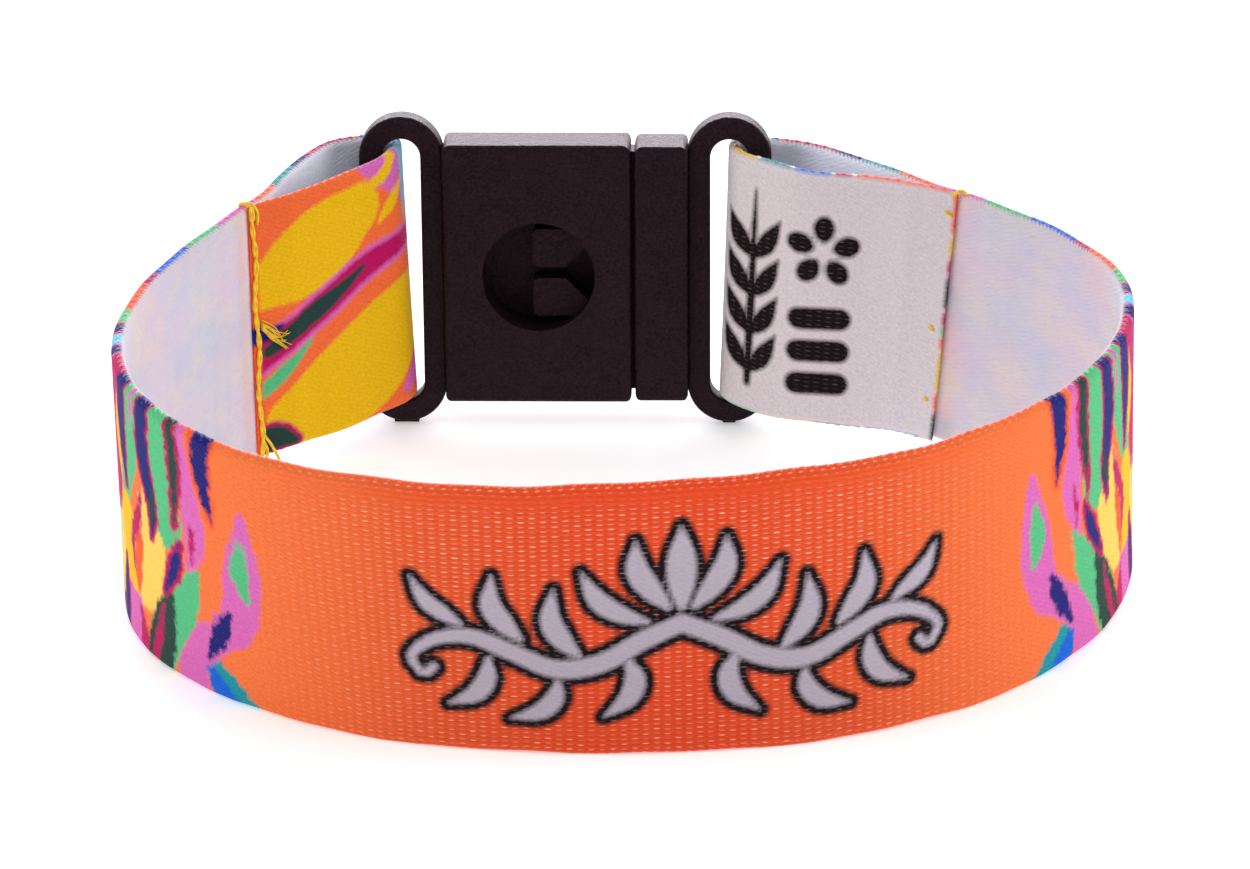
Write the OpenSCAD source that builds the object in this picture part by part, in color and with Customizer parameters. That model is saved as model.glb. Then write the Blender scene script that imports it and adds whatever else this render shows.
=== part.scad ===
// Fabric wristband: one printed ribbon bent into a loop and closed by a plastic breakaway buckle.
// Millimetres, +Z up. The loop stands on the ribbon's lower edge and on the buckle's two rings.
// The origin is under the middle of the loop, the front is at -Y and the buckle at +Y.

/* [Ribbon] */
// Width of the ribbon, which is the height of the band
ribbon_w = 20; // [19:0.5:20]
// Thickness of the woven ribbon
ribbon_t = 1; // [0.6:0.1:1]
// Depth of the flat on the lower edge where the band stands on it
rest_flat = 0.1; // [0.05:0.05:0.2]
// Longest step of the sweep along the ribbon
sweep_step = 1.6; // [1:0.2:3]

/* [Buckle place] */
// X of the gap between socket and plug
buckle_x = 0.75; // [0.5:0.05:1]
// Y of the buckle's front face at the foot of its rings
buckle_y = 24.1; // [24:0.05:24.3]
// Turn of the buckle about Z, in degrees
buckle_yaw = -2.5; // [-3:0.5:-2]
// Lean of the buckle's top away from the loop, in degrees
buckle_lean = 4; // [3:0.5:5]

/* [Buckle bodies] */
// Thickness of both bodies
body_t = 4.1; // [4:0.05:4.3]
// Width of the socket body
socket_w = 14.3; // [14:0.1:15]
// Height of the socket body
socket_h = 20.5; // [20:0.1:21]
// Width of the plug body
plug_w = 4.05; // [3.6:0.05:4.5]
// Height of the plug body
plug_h = 20.3; // [20:0.1:21]
// Gap between the two bodies
seam_gap = 0.3; // [0.2:0.05:0.5]
// Radius of the bodies' corners, seen from the front
corner_r = 0.6; // [0.4:0.1:1]
// Radius of the bodies' long edges
edge_r = 0.3; // [0.2:0.05:0.5]

/* [Ribbon rings] */
// Width of each ring
ring_w = 6.4; // [6.2:0.1:6.6]
// Height of each ring
ring_h = 24.4; // [24:0.1:25]
// Thickness of each ring
ring_t = 2; // [1.8:0.05:2.2]
// Width of the rings' bars round the slot
ring_wall = 1.75; // [1.5:0.05:1.9]
// Radius of the rings' edges
ring_edge_r = 0.25; // [0.1:0.05:0.4]

/* [Latch] */
// Diameter of the round window in the socket's front
window_d = 8.6; // [8:0.1:9]
// Distance from the seam gap to the window's centre
window_x = 7.2; // [7:0.05:7.6]
// Depth of the latch pocket's floor behind the front face
pocket_floor = 3.35; // [3.2:0.05:3.4]
// Drop of the window's centre below the body's middle
window_drop = 0.15; // [0:0.05:0.3]
// Diameter of the round mark on the pocket's floor
mark_d = 3.7; // [3:0.1:4]
// Thickness of the socket's front wall
front_wall = 1.1; // [1:0.1:1.3]
// Distance from the seam gap to the tips of the plug's prongs
prong_reach = 7.65; // [7:0.05:8]
// Distance between the outer edges of the two prongs
prong_span = 6.9; // [6:0.1:7]
// Gap between the heads of the two prongs
prong_gap = 0.9; // [0.6:0.1:1.2]
// Running clearance of the prongs and the lip in the socket
latch_clear = 0.15; // [0.1:0.05:0.2]
// Height of the plug's lip, which closes the view through the seam gap
lip_h = 19; // [18:0.1:19.2]
// Reach of the lip into the socket's mouth
lip_reach = 0.6; // [0.4:0.1:0.8]

/* [Hidden] */
$fn = 48;

// Columns of a station: x and y of the ribbon's middle halfway up, x and y of how far the upper edge
// stands off the lower edge, lift of the lower edge above the floor. The way runs from the left end
// over the left ring's bar, round the front and over the right ring's bar to the right end.
LEFT_TAIL = [
    [-27.1, 16.6, 0, 0, 1.6],
    [-24.8, 18.8, 0, 0.3, 1.8],
    [-22.1, 20.7, -0.3, 0.8, 2.0],
    [-19.6, 23.1, -0.7, 1.3, 2.2]
];
BAND = [
    [-21.8, 28.8, -0.5, 1.0, 2.2],
    [-23.6, 26.6, -0.6, 0.5, 2.1],
    [-25.2, 23.3, -0.3, 0.2, 1.9],
    [-26.9, 19.2, 0, 0, 1.7],
    [-28.9, 16.0, 0, 0, 1.5],
    [-31.9, 11.0, 0, 0, 0.9],
    [-34.7, 4.3, 0, 0, 0.3],
    [-35.8, -3.2, 0, 0, 0],
    [-34.0, -12.7, -0.3, -0.1, 0],
    [-28.0, -21.3, -1.0, -1.0, 0],
    [-19.0, -27.2, -0.7, -1.6, 0],
    [-9.0, -29.7, -0.2, -1.4, 0],
    [2.0, -29.8, 0, -0.4, 0],
    [13.0, -27.9, -0.1, 0.3, 0],
    [23.0, -22.8, -0.4, 0.6, 0],
    [31.0, -14.1, -0.9, 0.5, 0],
    [35.2, -3.7, -0.7, 0, 0],
    [35.4, 4.6, 0, 0, 0.2],
    [32.5, 11.3, 0.3, 0.2, 0.6],
    [27.3, 16.4, 0.4, 0.5, 1.2],
    [22.2, 20.2, 0.7, 0.8, 1.7],
    [17.0, 24.6, 0.8, 1.0, 2.1],
    [12.9, 27.9, 0.4, 1.3, 2.2]
];
RIGHT_TAIL = [
    [10.5, 23.3, 1.0, 1.3, 2.2],
    [12.9, 21.5, 0.8, 1.1, 2.2],
    [15.7, 20.7, 0.7, 1.2, 2.1],
    [18.6, 20.1, 0.8, 1.1, 2.0],
    [21.2, 19.2, 1.1, 0.7, 1.9],
    [23.6, 17.6, 1.6, 0.1, 1.6]
];

// Columns of a bend: angle about the ring's bar, distance of the ribbon's middle from it, x and y of
// how far the upper edge stands off the lower edge
LEFT_BEND = [
    [-55, 2.8, -0.9, 1.4],
    [-10, 2.25, -0.9, 1.4],
    [38, 2.35, -0.3, 1.4],
    [80, 1.75, 0, 1.4]
];
RIGHT_BEND = [
    [95, 1.75, 0, 1.4],
    [142, 2.3, 0.3, 1.4],
    [190, 2.25, 0.9, 1.4],
    [226, 2.5, 0.9, 1.4]
];
BEND_LIFT = 2.3;

ring_back = (body_t + ring_t) / 2;
ring_front = (body_t - ring_t) / 2;
socket_end = -seam_gap / 2 - socket_w;
plug_end = seam_gap / 2 + plug_w;
ring_bite = 0.05;
web_bite = 0.1;
ring_pitch = ring_w / 2 - ring_bite;
left_ring_x = socket_end - ring_pitch;
right_ring_x = plug_end + ring_pitch;
body_mid_h = ring_h / 2;
gate_h = 0.15;
gate_t = 1.2;
socket_gate_w = 1.9;
plug_gate_w = 1;
buckle_lift = gate_h + ring_back * sin(buckle_lean);
prong_t = pocket_floor - front_wall - 2 * latch_clear;
prong_arm = 1.3;
prong_chamfer = prong_span / 2 - prong_arm - prong_gap / 2;
prong_head = 2.45;
prong_root = 1;
root_bite = 1;
lip_tip = seam_gap / 2 + lip_reach;
tip_r = 0.45;
mark_h = 0.08;
big = 200;

// Middle of a ring's outer bar in plan, halfway up the buckle
function bar_at(x) =
    let (depth = body_t / 2 * cos(buckle_lean) + ring_h / 2 * sin(buckle_lean))
    [
        buckle_x + x * cos(buckle_yaw) - depth * sin(buckle_yaw),
        buckle_y + x * sin(buckle_yaw) + depth * cos(buckle_yaw)
    ];
left_bar = bar_at(left_ring_x - ring_w / 2 + ring_wall / 2);
right_bar = bar_at(right_ring_x + ring_w / 2 - ring_wall / 2);

function bend(bar, rows) = [
    for (r = rows) [bar[0] + r[1] * cos(r[0]), bar[1] + r[1] * sin(r[0]), r[2], r[3], BEND_LIFT]
];

stations = concat(LEFT_TAIL, bend(left_bar, LEFT_BEND), BAND, bend(right_bar, RIGHT_BEND), RIGHT_TAIL);

// Centripetal spline through the stations: it doesn't overshoot where long and short spans meet
function span(p, q) = norm([q[0] - p[0], q[1] - p[1]]);
function mix(p, q, a, b, t) = ((b - t) * p + (t - a) * q) / (b - a);
function spline(p0, p1, p2, p3, u) =
    let (
        t1 = sqrt(span(p0, p1)),
        t2 = t1 + sqrt(span(p1, p2)),
        t3 = t2 + sqrt(span(p2, p3)),
        t = t1 + u * (t2 - t1),
        a1 = mix(p0, p1, 0, t1, t),
        a2 = mix(p1, p2, t1, t2, t),
        a3 = mix(p2, p3, t2, t3, t),
        b1 = mix(a1, a2, 0, t2, t),
        b2 = mix(a2, a3, t1, t3, t)
    ) mix(b1, b2, t1, t2, t);
function steps(p, q) = max(3, ceil(span(p, q) / sweep_step));
last = len(stations) - 1;
padded = concat([2 * stations[0] - stations[1]], stations, [2 * stations[last] - stations[last - 1]]);
route = concat(
    [
        for (i = [0 : last - 1])
            let (n = steps(stations[i], stations[i + 1]))
            for (k = [0 : n - 1])
                spline(padded[i], padded[i + 1], padded[i + 2], padded[i + 3], k / n)
    ],
    [stations[last]]
);

// Four corners of the ribbon's section at one point of the route
function section(i) =
    let (
        p = route[i],
        ahead = route[min(i + 1, len(route) - 1)],
        behind = route[max(i - 1, 0)],
        way = [ahead[0] - behind[0], ahead[1] - behind[1], 0],
        up = [p[2], p[3], sqrt(pow(ribbon_w, 2) - pow(p[2], 2) - pow(p[3], 2))] / ribbon_w,
        across = cross(way, up),
        out = across / norm(across),
        below = max(0, rest_flat - p[4]),
        tall = ribbon_w + below,
        mid = [p[0], p[1], p[4] + ribbon_w / 2 * up[2]] - below / 2 * up
    )
    [for (c = [[-1, -1], [1, -1], [1, 1], [-1, 1]]) mid + c[0] * ribbon_t / 2 * out + c[1] * tall / 2 * up];

module ribbon_sweep() {
    n = len(route);
    points = [for (i = [0 : n - 1]) each section(i)];
    sides = [
        for (i = [0 : n - 2]) for (k = [0 : 3])
            let (a = 4 * i + k, b = 4 * i + (k + 1) % 4)
            each [[a, b, a + 4], [b, b + 4, a + 4]]
    ];
    polyhedron(points, concat([[0, 3, 2, 1]], sides, [[4 * n - 4, 4 * n - 3, 4 * n - 2, 4 * n - 1]]), 4);
}

module strap() {
    color("coral") difference() {
        ribbon_sweep();
        translate([-big / 2, -big / 2, -big]) cube([big, big, big]);
    }
}

module rounded_rect(w, h, r) {
    square([w - 2 * r, h], center = true);
    square([w, h - 2 * r], center = true);
    for (x = [-1, 1], y = [-1, 1])
        translate([x * (w / 2 - r), y * (h / 2 - r)]) circle(r);
}

// A block centred on X and Z with its front face at Y = 0, all its long edges rounded
module rounded_block(w, t, h) {
    intersection() {
        rotate([90, 0, 0]) translate([0, 0, -t]) linear_extrude(t) rounded_rect(w, h, corner_r);
        translate([0, t / 2, -h / 2]) linear_extrude(h) rounded_rect(w, t, edge_r);
        translate([-w / 2, t / 2, 0]) rotate([90, 0, 90]) linear_extrude(w) rounded_rect(t, h, edge_r);
    }
}

// A flat plate cut to an outline drawn in X and Z, between two depths behind the front face
module plate(front, back) {
    rotate([90, 0, 0]) translate([0, 0, -back]) linear_extrude(back - front) children();
}

// A ring is two straight bars joined by half rounds, with one rounded section all the way
module ring(x) {
    pitch_r = (ring_w - ring_wall) / 2;
    straight = ring_h - ring_w;
    translate([x, (ring_front + ring_back) / 2, 0]) {
        for (s = [-1, 1])
            translate([s * pitch_r, 0, -straight / 2])
                linear_extrude(straight) rounded_rect(ring_wall, ring_t, ring_edge_r);
        for (s = [0, 1])
            mirror([0, 0, s]) translate([0, 0, straight / 2]) rotate([90, 0, 0])
                rotate_extrude(angle = 180)
                    translate([pitch_r, 0]) rounded_rect(ring_wall, ring_t, ring_edge_r);
    }
}

// A moulding gate's flat remnant at the foot of a ring
module gate(x, w) {
    translate([x, (ring_front + ring_back) / 2, -ring_h / 2]) cube([w, gate_t, 2 * gate_h], center = true);
}

// Joins the ring's inner bar to the body over the body's height
module ring_web(x, h) {
    web = [2 * (edge_r + web_bite), ring_t - 2 * ring_edge_r, h - 2 * corner_r];
    translate([x, (ring_front + ring_back) / 2, 0]) cube(web, center = true);
}

module place_buckle() {
    translate([buckle_x, buckle_y, buckle_lift])
        rotate([0, 0, buckle_yaw])
            rotate([-buckle_lean, 0, 0])
                translate([0, 0, body_mid_h]) children();
}

module latch_channel() {
    translate([-window_x, front_wall, -prong_span / 2 - latch_clear - window_drop])
        cube([window_x, pocket_floor - front_wall, prong_span + 2 * latch_clear]);
}

// The recess in the socket's end that takes the plug's lip
module mouth() {
    tall = lip_h + 2 * latch_clear;
    translate([-lip_tip - latch_clear, front_wall, -tall / 2])
        cube([lip_tip + latch_clear, pocket_floor - front_wall, tall]);
}

module buckle_socket() {
    color("#241b1e") place_buckle() {
        difference() {
            translate([(socket_end - seam_gap / 2) / 2, 0, 0]) rounded_block(socket_w, body_t, socket_h);
            translate([-window_x, 0, -window_drop]) plate(-1, pocket_floor) circle(d = window_d);
            latch_channel();
            mouth();
        }
        translate([-window_x, 0, -window_drop])
            plate(pocket_floor - mark_h, pocket_floor + mark_h) circle(d = mark_d);
        ring(left_ring_x);
        gate(left_ring_x, socket_gate_w);
        ring_web(socket_end, socket_h);
    }
}

// One prong in X and Z: a straight arm with a wide head, whose inner edge slopes back to the arm
module prong_outline() {
    top = prong_span / 2;
    low = prong_gap / 2;
    tip = -prong_reach;
    polygon([
        [-prong_root, top],
        [tip + tip_r, top],
        [tip, top - tip_r],
        [tip, low + tip_r],
        [tip + tip_r, low],
        [tip + prong_head, low],
        [tip + prong_head + prong_chamfer, low + prong_chamfer],
        [-prong_root, low + prong_chamfer]
    ]);
    for (z = [top - tip_r, low + tip_r]) translate([tip + tip_r, z]) circle(tip_r);
}

module buckle_plug() {
    front = front_wall + latch_clear;
    color("#241b1e") place_buckle() {
        translate([(plug_end + seam_gap / 2) / 2, 0, 0]) rounded_block(plug_w, body_t, plug_h);
        plate(front, front + prong_t)
            translate([-lip_tip, -lip_h / 2]) square([lip_tip + root_bite, lip_h]);
        translate([0, 0, -window_drop]) plate(front, front + prong_t) {
            translate([-prong_root, -prong_span / 2]) square([prong_root + root_bite, prong_span]);
            for (s = [0, 1]) mirror([0, s]) prong_outline();
        }
        ring(right_ring_x);
        gate(right_ring_x, plug_gate_w);
        ring_web(plug_end, plug_h);
    }
}

strap();
buckle_socket();
buckle_plug();
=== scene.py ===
"""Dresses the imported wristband: the printed ribbon, its woven edges and sewn seams, the moulded buckle."""

import logging
import math
from dataclasses import dataclass, field
from enum import Enum, IntEnum

import bmesh
import bpy
import numpy as np
from mathutils import Matrix, Vector


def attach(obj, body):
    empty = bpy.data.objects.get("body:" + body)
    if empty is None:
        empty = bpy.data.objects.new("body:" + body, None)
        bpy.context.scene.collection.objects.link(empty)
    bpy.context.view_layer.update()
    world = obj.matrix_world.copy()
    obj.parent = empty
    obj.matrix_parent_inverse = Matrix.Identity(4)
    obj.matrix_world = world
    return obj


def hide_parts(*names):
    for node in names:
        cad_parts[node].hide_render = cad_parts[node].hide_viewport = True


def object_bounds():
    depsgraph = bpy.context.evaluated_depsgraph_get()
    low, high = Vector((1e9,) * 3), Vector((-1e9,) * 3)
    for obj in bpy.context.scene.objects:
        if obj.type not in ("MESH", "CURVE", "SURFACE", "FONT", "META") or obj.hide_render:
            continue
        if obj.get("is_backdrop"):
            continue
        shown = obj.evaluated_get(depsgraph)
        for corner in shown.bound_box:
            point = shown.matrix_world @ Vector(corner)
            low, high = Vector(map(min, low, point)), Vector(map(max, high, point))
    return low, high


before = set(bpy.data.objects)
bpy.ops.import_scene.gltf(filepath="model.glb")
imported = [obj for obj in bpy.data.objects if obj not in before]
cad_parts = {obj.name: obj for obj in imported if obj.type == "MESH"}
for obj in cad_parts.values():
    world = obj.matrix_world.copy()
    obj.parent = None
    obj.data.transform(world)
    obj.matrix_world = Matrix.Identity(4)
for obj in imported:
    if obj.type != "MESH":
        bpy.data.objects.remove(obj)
CAD_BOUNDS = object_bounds()

LOG = logging.getLogger("wristband")
MM = 0.001


def linear(colour: tuple[int, int, int]) -> np.ndarray:
    """Turns a colour from 0 to 255 into linear light from 0 to 1."""
    value = np.array(colour) / 255
    return np.where(value < 0.04045, value / 12.92, ((value + 0.055) / 1.055) ** 2.4)


def rgb(colour: tuple[int, int, int]) -> tuple[float, ...]:
    """Turns a colour from 0 to 255 into linear light with an opaque fourth value."""
    return (*linear(colour).tolist(), 1.0)


class Ink(Enum):
    """The print's colours, as red, green and blue from 0 to 255."""

    ORANGE = (248, 92, 44)
    NAVY = (20, 22, 112)
    MAGENTA = (190, 0, 92)
    ORCHID = (216, 104, 182)
    MINT = (84, 190, 128)
    YELLOW = (238, 188, 0)
    STRAW = (252, 206, 92)
    PINE = (30, 62, 56)
    SKY = (110, 200, 226)
    TEAL = (20, 150, 160)
    ROYAL = (0, 100, 214)
    LILAC = (188, 178, 192)
    PAPER = (226, 218, 220)
    BLACK = (18, 0, 6)

    def linear(self) -> np.ndarray:
        """Gives the colour as linear light from 0 to 1."""
        return linear(self.value)


class Zone(Enum):
    """The parts of the print. Each one gives where along the ribbon its drawing starts, in millimetres."""

    SIDES = 109.0
    LEFT_END = 0.0
    FRONT = 110.8
    RIGHT_END = 203.4


class Layer(IntEnum):
    """The print's layers, from the lowest up. A stroke's rim lies one layer below the stroke."""

    GROUND = 0
    PATCH = 1
    OUTLINE = 2
    FIGURE = 3
    BORDER = 4
    DETAIL = 5


@dataclass
class Route:
    """The ribbon's way from its left free end over the left ring, round the front and over the right ring.

    The columns of a station are x and y of the ribbon's middle, x and y of how far the upper edge stands
    off the lower edge, and the lift of the lower edge, in millimetres. A bend's are the angle about the
    ring's bar, the distance from it and the same x and y.
    """

    width: float = 20.0
    bend_lift: float = 2.3
    left_bar: tuple[float, float] = (-19.03, 27.86)
    right_bar: tuple[float, float] = (10.54, 26.57)
    pitch: float = 0.1
    half: float = 0.475
    pressed: float = 0.22
    press_reach: float = 3.0
    sunk: float = 0.2
    sink_reach: float = 3.0
    floor_gap: float = 0.02
    ripples: tuple = ((0.005, 2.3, 0), (0.004, 1.1, 1), (0.003, 3.7, 2))
    left_tail: tuple = (
        (-27.1, 16.6, 0, 0, 1.6),
        (-24.8, 18.8, 0, 0.3, 1.8),
        (-22.1, 20.7, -0.3, 0.8, 2.0),
        (-19.6, 23.1, -0.7, 1.3, 2.2),
    )
    left_bend: tuple = (
        (-55, 2.8, -0.9, 1.4),
        (-10, 2.25, -0.9, 1.4),
        (38, 2.35, -0.3, 1.4),
        (80, 1.75, 0, 1.4),
    )
    band: tuple = (
        (-21.8, 28.8, -0.5, 1.0, 2.2),
        (-23.6, 26.6, -0.6, 0.5, 2.1),
        (-25.2, 23.3, -0.3, 0.2, 1.9),
        (-26.9, 19.2, 0, 0, 1.7),
        (-28.9, 16.0, 0, 0, 1.5),
        (-31.9, 11.0, 0, 0, 0.9),
        (-34.7, 4.3, 0, 0, 0.3),
        (-35.8, -3.2, 0, 0, 0),
        (-34.0, -12.7, -0.3, -0.1, 0),
        (-28.0, -21.3, -1.0, -1.0, 0),
        (-19.0, -27.2, -0.7, -1.6, 0),
        (-9.0, -29.7, -0.2, -1.4, 0),
        (2.0, -29.8, 0, -0.4, 0),
        (13.0, -27.9, -0.1, 0.3, 0),
        (23.0, -22.8, -0.4, 0.6, 0),
        (31.0, -14.1, -0.9, 0.5, 0),
        (35.2, -3.7, -0.7, 0, 0),
        (35.4, 4.6, 0, 0, 0.2),
        (32.5, 11.3, 0.3, 0.2, 0.6),
        (27.3, 16.4, 0.4, 0.5, 1.2),
        (22.2, 20.2, 0.7, 0.8, 1.7),
        (17.0, 24.6, 0.8, 1.0, 2.1),
        (12.9, 27.9, 0.4, 1.3, 2.2),
    )
    right_bend: tuple = (
        (95, 1.75, 0, 1.4),
        (142, 2.3, 0.3, 1.4),
        (190, 2.25, 0.9, 1.4),
        (226, 2.5, 0.9, 1.4),
    )
    right_tail: tuple = (
        (10.5, 23.3, 1.0, 1.3, 2.2),
        (12.9, 21.5, 0.8, 1.1, 2.2),
        (15.7, 20.7, 0.7, 1.2, 2.1),
        (18.6, 20.1, 0.8, 1.1, 2.0),
        (21.2, 19.2, 1.1, 0.7, 1.9),
        (23.6, 17.6, 1.6, 0.1, 1.6),
    )

    def __post_init__(self) -> None:
        """Samples the way finely and measures it."""
        stations = np.array(
            [
                *self.left_tail,
                *self.bend(self.left_bar, self.left_bend),
                *self.band,
                *self.bend(self.right_bar, self.right_bend),
                *self.right_tail,
            ],
            float,
        )
        self.line = spline(stations, self.pitch)
        step = np.hypot(*np.diff(self.line[:, :2], axis=0).T)
        self.along = np.concatenate([[0], np.cumsum(step)])
        self.length = float(self.along[-1])
        self.way = np.gradient(self.line[:, :2], self.along, axis=0)

    def bend(self, bar: tuple[float, float], rows: tuple) -> list[tuple]:
        """Turns the rows of a bend about a ring's bar into stations.

        Args:
            bar: x and y of the bar.
            rows: angle, distance and the two tilts.

        Returns:
            The stations of the bend.
        """
        return [
            (
                bar[0] + away * math.cos(math.radians(angle)),
                bar[1] + away * math.sin(math.radians(angle)),
                tilt_x,
                tilt_y,
                self.bend_lift,
            )
            for angle, away, tilt_x, tilt_y in rows
        ]

    def place(self, along: np.ndarray, height: np.ndarray, out: np.ndarray) -> np.ndarray:
        """Bends flat ribbon coordinates onto the way.

        Args:
            along: millimetres from the left free end.
            height: millimetres above the lower edge.
            out: millimetres off the middle layer, positive on the printed side.

        Returns:
            The points in millimetres, one row each.
        """
        along, height, out = np.broadcast_arrays(
            np.asarray(along, float), np.asarray(height, float), np.asarray(out, float)
        )
        height = height + self.ripple(along) * (height - self.width / 2)
        from_end = np.minimum(along, self.length - along)
        share = np.interp(from_end, (0, self.press_reach), (self.pressed, 1))
        out = np.where(out > -self.half, (out + self.half) * share - self.half, out)
        out = out - self.sunk * np.clip(1 - from_end / self.sink_reach, 0, 1)
        at = [np.interp(along, self.along, self.line[:, k]) for k in range(5)]
        way = np.stack([np.interp(along, self.along, self.way[:, k]) for k in range(2)], -1)
        way = np.concatenate([way, np.zeros_like(way[..., :1])], -1)
        past = along - np.clip(along, 0, self.length)
        rise = np.sqrt(self.width**2 - at[2] ** 2 - at[3] ** 2)
        up = np.stack([at[2], at[3], rise], -1) / self.width
        across = np.cross(way, up)
        across /= np.linalg.norm(across, axis=-1, keepdims=True)
        foot = np.stack([at[0], at[1], at[4] + rise / 2], -1) + past[..., None] * way
        points = foot + (height - self.width / 2)[..., None] * up + out[..., None] * across
        points[..., 2] = np.maximum(points[..., 2], self.floor_gap)
        return points

    def ripple(self, along: np.ndarray) -> np.ndarray:
        """Gives how much wider or narrower the ribbon is along its way, as a share."""
        return sum(share * np.sin(along / reach + start) for share, reach, start in self.ripples)


def spline(stations: np.ndarray, pitch: float) -> np.ndarray:
    """Runs a centripetal spline through stations.

    Args:
        stations: one row each, of at least two columns.
        pitch: the longest step between samples.

    Returns:
        The samples, with the stations' columns.
    """
    stations = np.asarray(stations, float)
    ends = 2 * stations[[0, -1]] - stations[[1, -2]]
    rows = np.concatenate([ends[:1], stations, ends[1:]])
    found = []
    for i in range(1, len(rows) - 2):
        p = rows[i - 1 : i + 3]
        knots = np.concatenate([[0], np.cumsum(np.sqrt(np.hypot(*np.diff(p[:, :2], axis=0).T)))])
        count = max(3, math.ceil(np.hypot(*(p[2] - p[1])[:2]) / pitch))
        t = np.linspace(knots[1], knots[2], count, endpoint=False)[:, None]
        lines = [between(p[k], p[k + 1], knots[k], knots[k + 1], t) for k in range(3)]
        curves = [between(lines[k], lines[k + 1], knots[k], knots[k + 2], t) for k in range(2)]
        found.append(between(curves[0], curves[1], knots[1], knots[2], t))
    found.append(stations[-1:])
    return np.concatenate(found)


def between(first: np.ndarray, last: np.ndarray, start: float, stop: float, t: np.ndarray) -> np.ndarray:
    """Gives the point between two points that t reaches on its way from start to stop."""
    return ((stop - t) * first + (t - start) * last) / (stop - start)


@dataclass(frozen=True)
class Stroke:
    """One brush stroke of the print: points of x, height and half width, in millimetres.

    One on the sides is drawn on both of them, and only between the ribbon's two folds.
    """

    zone: Zone
    layer: Layer
    ink: Ink
    points: tuple
    rim: Ink | None = None
    rim_width: float = 0.35
    reach: float = 1.3
    pitch: float = 0.6
    folds: tuple[float, float] = (16.0, 198.5)
    far: float = 999.0

    def depth(self, along: np.ndarray, height: np.ndarray) -> tuple[np.ndarray, np.ndarray]:
        """Measures how deep inside the stroke points lie, up to its reach outside it.

        Args:
            along: millimetres from the left free end.
            height: millimetres above the lower edge.

        Returns:
            The indexes of the points near the stroke, and their depths in millimetres.
        """
        x = along - self.zone.value
        if self.zone is Zone.SIDES:
            x = np.where((along > self.folds[0]) & (along < self.folds[1]), np.abs(x), self.far)
        rows = np.array(self.points, float)
        if len(rows) > 2:
            rows = spline(rows, self.pitch)
        margin = rows[:, 2].max() + self.reach
        low = rows[:, :2].min(0) - margin
        high = rows[:, :2].max(0) + margin
        inside = (x > low[0]) & (x < high[0]) & (height > low[1]) & (height < high[1])
        near = np.flatnonzero(inside)
        x, y = x[near], height[near]
        best = np.full(len(near), -self.far)
        for a, b in zip(rows[:-1], rows[1:]):
            leg = b[:2] - a[:2]
            t = np.clip(((x - a[0]) * leg[0] + (y - a[1]) * leg[1]) / max(leg @ leg, 1e-9), 0, 1)
            away = np.hypot(x - a[0] - t * leg[0], y - a[1] - t * leg[1])
            best = np.maximum(best, a[2] + t * (b[2] - a[2]) - away)
        return near, best


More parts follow.
